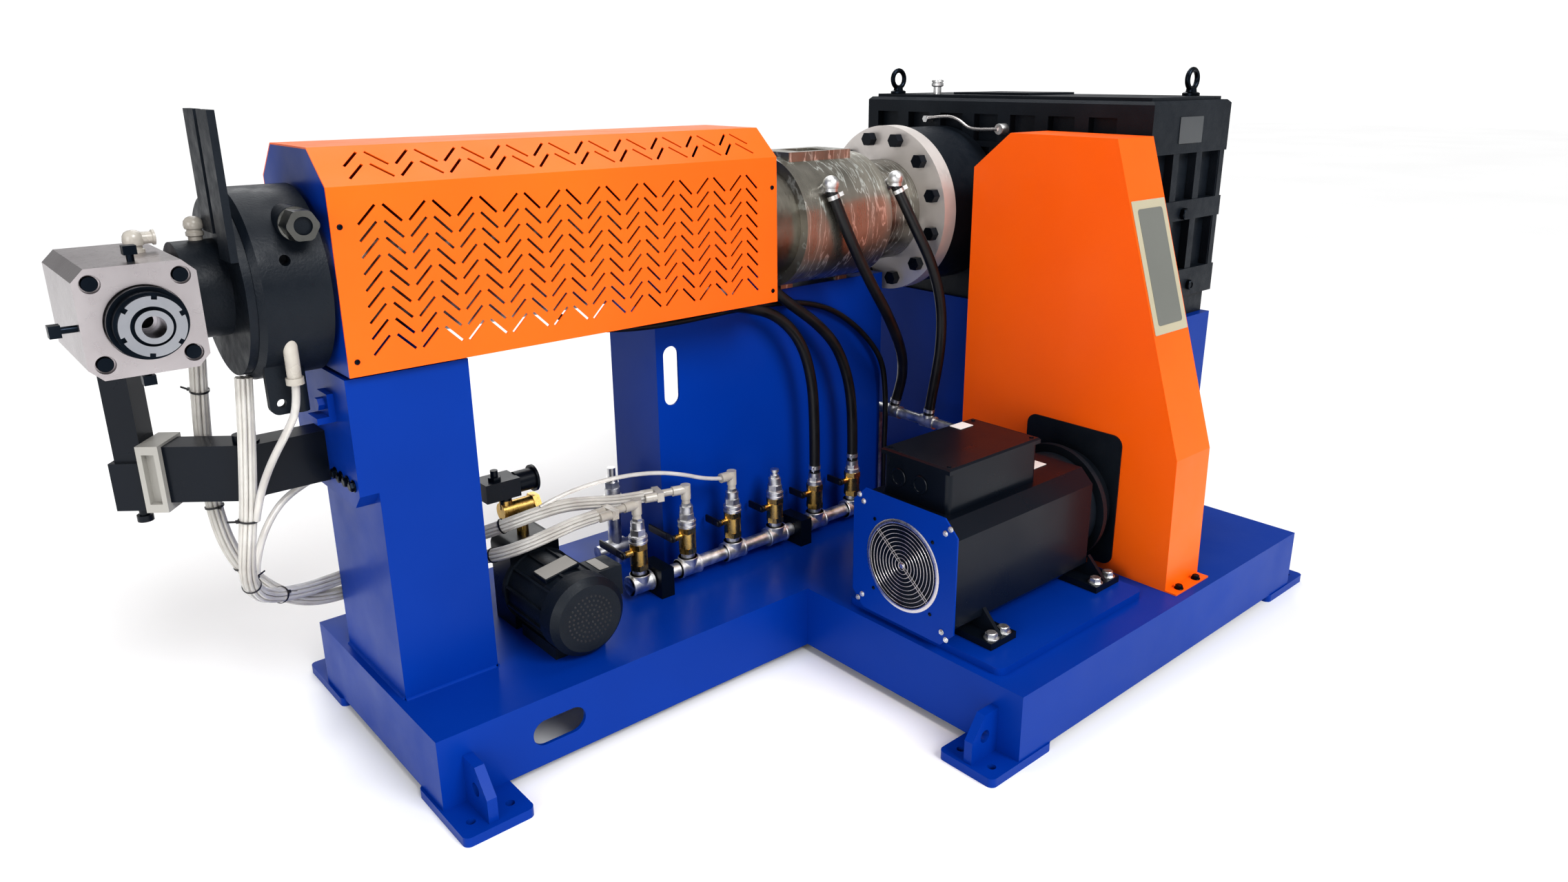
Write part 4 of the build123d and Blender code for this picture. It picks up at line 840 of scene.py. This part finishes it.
# Bolts of the belt guard's foot flange
GUARD_BOLT_IN = 0.036
GUARD_BOLT_Y = GUARD_LOW.y + 0.014
GUARD_FLANGE_Z = GUARD_LOW.z + 0.004
mesh = bmesh.new()
for x in (GUARD_LOW.x + GUARD_BOLT_IN, GUARD_HIGH.x - GUARD_BOLT_IN):
    hex_bolt(mesh, (x, GUARD_BOLT_Y, GUARD_FLANGE_Z), UP, GUARD_BOLT, x * 7)
piece("guard_foot_bolts", mesh, MATERIALS["dark_steel"])


# A blank plate: its size is a width, a height and a corner radius, and its two levels are measured
# from the face that carries it.
def plate(name, place, size, levels, material, bevel):
    mesh = bmesh.new()
    prism(mesh, rounded(*size), *levels, place)
    piece(name, mesh, material, bevel=bevel)


# Guard plate: a beige frame with a bare grey field, on the sloping narrow face
SLOPE_TOP = Vector((0, -0.390, 1.210))
SLOPE_FOOT = Vector((0, -0.616, 0.499))
PLATE_DOWN = 0.40
along = (SLOPE_FOOT - SLOPE_TOP).normalized()
outward = along.cross(Vector((1, 0, 0))).normalized()
centre = SLOPE_TOP + (SLOPE_FOOT - SLOPE_TOP) * PLATE_DOWN
centre.x = (GUARD_LOW.x + GUARD_HIGH.x) / 2
guard_slope = Matrix.Translation(centre) @ Matrix((
    (1, 0, outward.x, 0),
    (0, -along.y, outward.y, 0),
    (0, -along.z, outward.z, 0),
    (0, 0, 0, 1),
))
plate("guard_plate_frame", guard_slope, (0.140, 0.310, 0.003), (0.0003, 0.0022), BEIGE, 0.0005)
plate("guard_plate_field", guard_slope, (0.104, 0.270, 0.008), (0.0022, 0.0030), PLATE_GREY,
      0.0003)

# Blank plates of the gearbox and of the pump's terminal box
gearbox_front = facing((1.030, GEARBOX_LOW.y, 1.216), FRONT)
plate("gearbox_plate", gearbox_front, (0.110, 0.064, 0.003), (0.0002, 0.0020), PLATE_DARK,
      0.0005)
pump_box_top = facing((-0.427, 0.131, 0.325), UP)
plate("pump_box_plate", pump_box_top, (0.024, 0.058, 0.002), (0.0002, 0.0014), MATERIALS["grey_paint"],
      0.0004)

# Plate of the pump motor on its pad
PAD_Y = 0.131
PAD_R = 0.086
PAD_LEAN = radians(-10)
pad_way = Vector((sin(PAD_LEAN), 0, cos(PAD_LEAN)))
pad = facing(Vector((PUMP_X, PAD_Y, PUMP_Z)) + pad_way * PAD_R, pad_way)
plate("pump_pad", pad, (0.056, 0.084, 0.004), (-0.0085, 0.0), MATERIALS["black_paint"], 0.0006)
plate("pump_plate", pad, (0.050, 0.078, 0.002), (0.0001, 0.0010), MATERIALS["grey_paint"],
      0.0003)

# Air inlet of the pump motor's cowl: rings of small black discs, painted shade standing in for the dark holes
DOT = ((0.0027, 0.0001), (0.0024, 0.0003))
DOT_RINGS = 5
DOT_RING_STEP = 0.010
DOTS_PER_RING = 6
COWL_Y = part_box("pump_motor")[0].y
mesh = bmesh.new()
for number in range(1, DOT_RINGS + 1):
    reach = DOT_RING_STEP * number
    count = DOTS_PER_RING * number
    for k in range(count):
        angle = 2 * pi * k / count
        spot = (PUMP_X + reach * cos(angle), COWL_Y, PUMP_Z + reach * sin(angle))
        lathe(mesh, DOT, facing(spot, FRONT), 10)
piece("pump_inlet_shade_dots", mesh, MATERIALS["lever_black"])

# Eye bolts on the gearbox lid, whose raised middle stands 6 mm above the rest
LID_Z = GEARBOX_HIGH.z - 0.006
EYE_PLACES = ((0.900, 0.506), (1.170, -0.277))
EYE_R = 0.0240
EYE_WIRE_R = 0.0068
EYE_RISE = 0.041
EYE_FOOT = ((0.0210, 0.0), (0.0220, 0.0010), (0.0220, 0.0065), (0.0190, 0.0085), (0.0140, 0.0095),
            (0.0125, 0.0190))
mesh = bmesh.new()
for x, y in EYE_PLACES:
    lathe(mesh, EYE_FOOT, facing((x, y, LID_Z), UP), 32)
    wire_ring(mesh, EYE_R, EYE_WIRE_R, 0.0, facing((x, y, LID_Z + EYE_RISE), FRONT), 40, 12)
eyes = piece("eye_bolts", mesh, MATERIALS["dark_steel"])
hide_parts("gearbox_fittings")

# Bright breather on the lid, and the union and the nut at the two ends of the lube pipe
BREATHER_PLACE = (0.900, 0.354, LID_Z)
BREATHER = (
    (0.0110, 0.0), (0.0110, 0.0200), (0.0150, 0.0215), (0.0170, 0.0235), (0.0170, 0.0300),
    (0.0145, 0.0312), (0.0145, 0.0326), (0.0168, 0.0336), (0.0160, 0.0385), (0.0120, 0.0400),
)
LUBE_Z = 1.209
LUBE_UNION_Y = 0.072
LUBE_UNION = ((0.0150, 0.0), (0.0150, 0.0240), (0.0135, 0.0262), (0.0075, 0.0262), (0.0070, 0.0230))
LUBE_NUT_Y = 0.330
LUBE_NUT_Z = LUBE_Z + 0.020
LUBE_NUT_ACROSS = 0.0170
LUBE_NUT_LENGTH = 0.0290
mesh = bmesh.new()
lathe(mesh, BREATHER, facing(BREATHER_PLACE, UP), 32)
lathe(mesh, LUBE_UNION, facing((GEARBOX_LOW.x, LUBE_UNION_Y, LUBE_Z), LEFT), 32)
lube_nut = facing((GEARBOX_LOW.x, LUBE_NUT_Y, LUBE_NUT_Z), LEFT)
prism(mesh, hexagon(LUBE_NUT_ACROSS), 0.0, LUBE_NUT_LENGTH, lube_nut)
piece("gearbox_breather", mesh, MATERIALS["galvanised"])

# Upper and lower plug in the front of the gearbox
HEX_PLUG_PLACE = (1.032, GEARBOX_LOW.y, 1.010)
ROUND_PLUG_PLACE = (1.098, GEARBOX_LOW.y, 0.820)
ROUND_PLUG = ((0.0130, 0.0), (0.0130, 0.0080), (0.0115, 0.0098), (0.0080, 0.0098), (0.0075, 0.0080))
mesh = bmesh.new()
hex_bolt(mesh, HEX_PLUG_PLACE, FRONT, GEARBOX_PLUG)
lathe(mesh, ROUND_PLUG, facing(ROUND_PLUG_PLACE, FRONT), 28)
piece("gearbox_plugs", mesh, MATERIALS["dark_steel"])

# Bent lube pipe in front of the gearbox's end face
LUBE_X = GEARBOX_LOW.x - 0.023
LUBE_R = 0.0050
LUBE_PIPE = [
    (LUBE_X, 0.334, LUBE_NUT_Z),
    (LUBE_X, 0.262, LUBE_Z + 0.030),
    (LUBE_X, 0.215, LUBE_Z + 0.024),
    (LUBE_X, 0.175, LUBE_Z - 0.002),
    (LUBE_X, 0.125, LUBE_Z - 0.003),
    (LUBE_X, 0.076, LUBE_Z),
]
tube("lube_pipe", LUBE_PIPE, LUBE_R, "steel", 4)

# Blank plates on the terminal box and the motor
terminal_top = facing((0.326, -0.256, TERMINAL_HIGH.z), UP)
plate("terminal_plate", terminal_top, (0.046, 0.034, 0.002), (0.0002, 0.0012), WHITE_LABEL,
      0.0003)
motor_top = facing((0.470, -0.345, MOTOR_HIGH.z), UP)
plate("motor_plate", motor_top, (0.050, 0.070, 0.002), (0.0002, 0.0014), WHITE_LABEL, 0.0003)

# Closed cable entries on the end of the terminal box, and the screws of its lid
ENTRY = ((0.021, 0), (0.021, 0.0022), (0.0195, 0.0034), (0.0160, 0.0034), (0.0150, 0.0016))
ENTRY_X = TERMINAL_LOW.x + 0.004
ENTRY_Y = (-0.284, -0.346)
ENTRY_Z = 0.516
LID_SCREW_IN = 0.015
LID_SCREW_Z = TERMINAL_HIGH.z + 0.0002
LID_SCREW_R = 0.0048
LID_SCREW_H = 0.0022
mesh = bmesh.new()
for y in ENTRY_Y:
    lathe(mesh, ENTRY, facing((ENTRY_X, y, ENTRY_Z), LEFT), 32)
for x in (TERMINAL_LOW.x + LID_SCREW_IN, TERMINAL_HIGH.x - LID_SCREW_IN):
    for y in (TERMINAL_LOW.y + LID_SCREW_IN, TERMINAL_HIGH.y - LID_SCREW_IN):
        socket_screw(mesh, (x, y, LID_SCREW_Z), UP, LID_SCREW_R, LID_SCREW_H)
piece("terminal_box_entries", mesh, MATERIALS["black_paint"])

# Beads on the zinc fittings: collars of the tees and of the reducers
TEE_COLLAR = ((0.0232, -0.0035), (0.0248, -0.0022), (0.0248, 0.0022), (0.0232, 0.0035))
TEE_HALF = 0.0265
TEE_TOP = 0.2305
REDUCER_COLLAR = ((0.0212, -0.003), (0.0226, -0.0018), (0.0226, 0.0018), (0.0212, 0.003))
REDUCER_COLLAR_Z = (0.316, 0.3275)
REDUCERS = 4
mesh = bmesh.new()
for x in STACK_X:
    for step in (-TEE_HALF, TEE_HALF):
        lathe(mesh, TEE_COLLAR, facing((x + step, PIPE_Y, PIPE_Z), RIGHT), 32)
    lathe(mesh, TEE_COLLAR, facing((x, PIPE_Y, TEE_TOP), UP), 32)
for x in STACK_X[:REDUCERS]:
    for z in REDUCER_COLLAR_Z:
        lathe(mesh, REDUCER_COLLAR, facing((x, PIPE_Y, z), UP), 32)
piece("fitting_collars", mesh, MATERIALS["galvanised"])

# Dipped grips on the valve levers, with the nut of each stem
LEVER_Z = 0.291
LONG_LEVERS = 2
LONG_GRIP_END = 0.096
SHORT_GRIP_END = 0.050
GRIP_START = 0.022
GRIP_OFF = 0.0440
STEM_NUT_OFF = 0.0458
for k, x in enumerate(STACK_X):
    grip_end = LONG_GRIP_END if k < LONG_LEVERS else SHORT_GRIP_END
    mesh = bmesh.new()
    grip = facing((x - GRIP_OFF, PIPE_Y + GRIP_START, LEVER_Z), BACK, pi / 2)
    prism(mesh, rounded(0.0175, 0.0056, 0.0026), 0, grip_end - GRIP_START, grip)
    hex_bolt(mesh, (x - STEM_NUT_OFF, PIPE_Y, LEVER_Z), LEFT, STEM_NUT, 0.4)
    lever = "valve_lever_%d" % (k + 1)
    piece("lever_grip_%d" % (k + 1), mesh, MATERIALS["lever_black"], lever)


# A weld bead along straight edges, with a ripple at each step
def weld(mesh, corners, radius, step):
    for a, b in zip(corners, corners[1:]):
        a = Vector(a)
        b = Vector(b)
        count = int((b - a).length / step)
        profile = []
        for k in range(count):
            profile.append((radius * (0.86 if k % 2 else 1.0), k * step))
        lathe(mesh, profile, facing(a, (b - a).normalized()), 8)


# Weld bead around the foot of the pillar
WELD_R = 0.0045
WELD_STEP = 0.0035
mesh = bmesh.new()
weld(mesh, [
    (PILLAR_LOW.x, PILLAR_LOW.y, BASE_TOP),
    (PILLAR_HIGH.x, PILLAR_LOW.y, BASE_TOP),
    (PILLAR_HIGH.x, PILLAR_HIGH.y, BASE_TOP),
    (PILLAR_LOW.x, PILLAR_HIGH.y, BASE_TOP),
    (PILLAR_LOW.x, PILLAR_LOW.y, BASE_TOP),
], WELD_R, WELD_STEP)
piece("pillar_weld", mesh, MATERIALS["blue_paint"])


# Stage: a pale floor, soft lights and the camera of the photograph
FLOOR = 30
AMBIENT = 0.32
BACKDROP = 0.95


def stage():
    floor_mesh = bpy.data.meshes.new("floor")
    corners = [(-FLOOR, -FLOOR, 0), (FLOOR, -FLOOR, 0), (FLOOR, FLOOR, 0), (-FLOOR, FLOOR, 0)]
    floor_mesh.from_pydata(corners, [], [(0, 1, 2, 3)])
    floor = bpy.data.objects.new("floor", floor_mesh)
    bpy.context.collection.objects.link(floor)
    material, tree, shader = new_material("floor_pale")
    pale = ramp(tree, noise(tree, 0.6, 3), ((0.3, (0.90, 0.90, 0.90)), (0.7, (0.93, 0.93, 0.93))))
    tree.links.new(pale, shader.inputs["Base Color"])
    shader.inputs["Roughness"].default_value = 0.7
    floor_mesh.materials.append(material)

    world = bpy.data.worlds.new("studio")
    bpy.context.scene.world = world
    world.use_nodes = True
    # The backdrop is white to the eye and dim as a light.
    backdrop = world.node_tree.nodes["Background"]
    backdrop.inputs["Color"].default_value = (1.0, 1.0, 1.0, 1)
    seen = world.node_tree.nodes.new("ShaderNodeLightPath")
    strength = world.node_tree.nodes.new("ShaderNodeMapRange")
    strength.inputs["To Min"].default_value = AMBIENT
    strength.inputs["To Max"].default_value = BACKDROP
    world.node_tree.links.new(seen.outputs["Is Camera Ray"], strength.inputs["Value"])
    world.node_tree.links.new(strength.outputs["Result"], backdrop.inputs["Strength"])
    bpy.context.scene.view_settings.view_transform = "Standard"
    bpy.context.scene.view_settings.look = "Medium High Contrast"


def aimed(light, place, target):
    light.location = place
    light.rotation_euler = (Vector(target) - Vector(place)).to_track_quat("-Z", "Y").to_euler()
    bpy.context.collection.objects.link(light)


def area_light(name, place, target, size, power):
    data = bpy.data.lights.new(name, "AREA")
    data.shape = "RECTANGLE"
    data.size = size[0]
    data.size_y = size[1]
    data.energy = power
    aimed(bpy.data.objects.new(name, data), place, target)


def sun_light(name, place, spread_angle, strength):
    data = bpy.data.lights.new(name, "SUN")
    data.angle = radians(spread_angle)
    data.energy = strength
    aimed(bpy.data.objects.new(name, data), place, (0, 0, 0))


stage()
sun_light("key", (0.4, -4.0, 3.6), 30, 2.35)
sun_light("back", (2.0, 3.6, 3.0), 40, 0.7)
area_light("fill", (-5.5, -1.6, 2.2), (-0.4, 0.0, 0.6), (2.4, 2.4), 88)
area_light("top", (0.2, 0.3, 3.6), (0.1, 0.1, 0.6), (2.6, 1.2), 30)
area_light("low", (-1.7, -1.6, 0.9), (0.1, -0.4, 0.3), (1.2, 0.9), 8)

CAMERA_PLACE = (-1.522, -1.757, 1.352)
CAMERA_AZIMUTH = 41.67
CAMERA_DOWN = 17.58
CAMERA_ROLL = -0.15
CAMERA_SENSOR = 36
CAMERA_LENS = 24.56
CAMERA_SHIFT = (-0.0077, -0.0184)
camera_data = bpy.data.cameras.new("camera")
camera_data.sensor_width = CAMERA_SENSOR
camera_data.lens = CAMERA_LENS
camera_data.shift_x, camera_data.shift_y = CAMERA_SHIFT
camera_data.clip_end = 100
camera = bpy.data.objects.new("camera", camera_data)
turn = Matrix.Rotation(radians(-CAMERA_AZIMUTH), 4, "Z")
tilt = Matrix.Rotation(radians(90 - CAMERA_DOWN), 4, "X")
roll = Matrix.Rotation(radians(CAMERA_ROLL), 4, "Z")
camera.matrix_world = Matrix.Translation(CAMERA_PLACE) @ turn @ tilt @ roll
bpy.context.collection.objects.link(camera)
bpy.context.scene.camera = camera
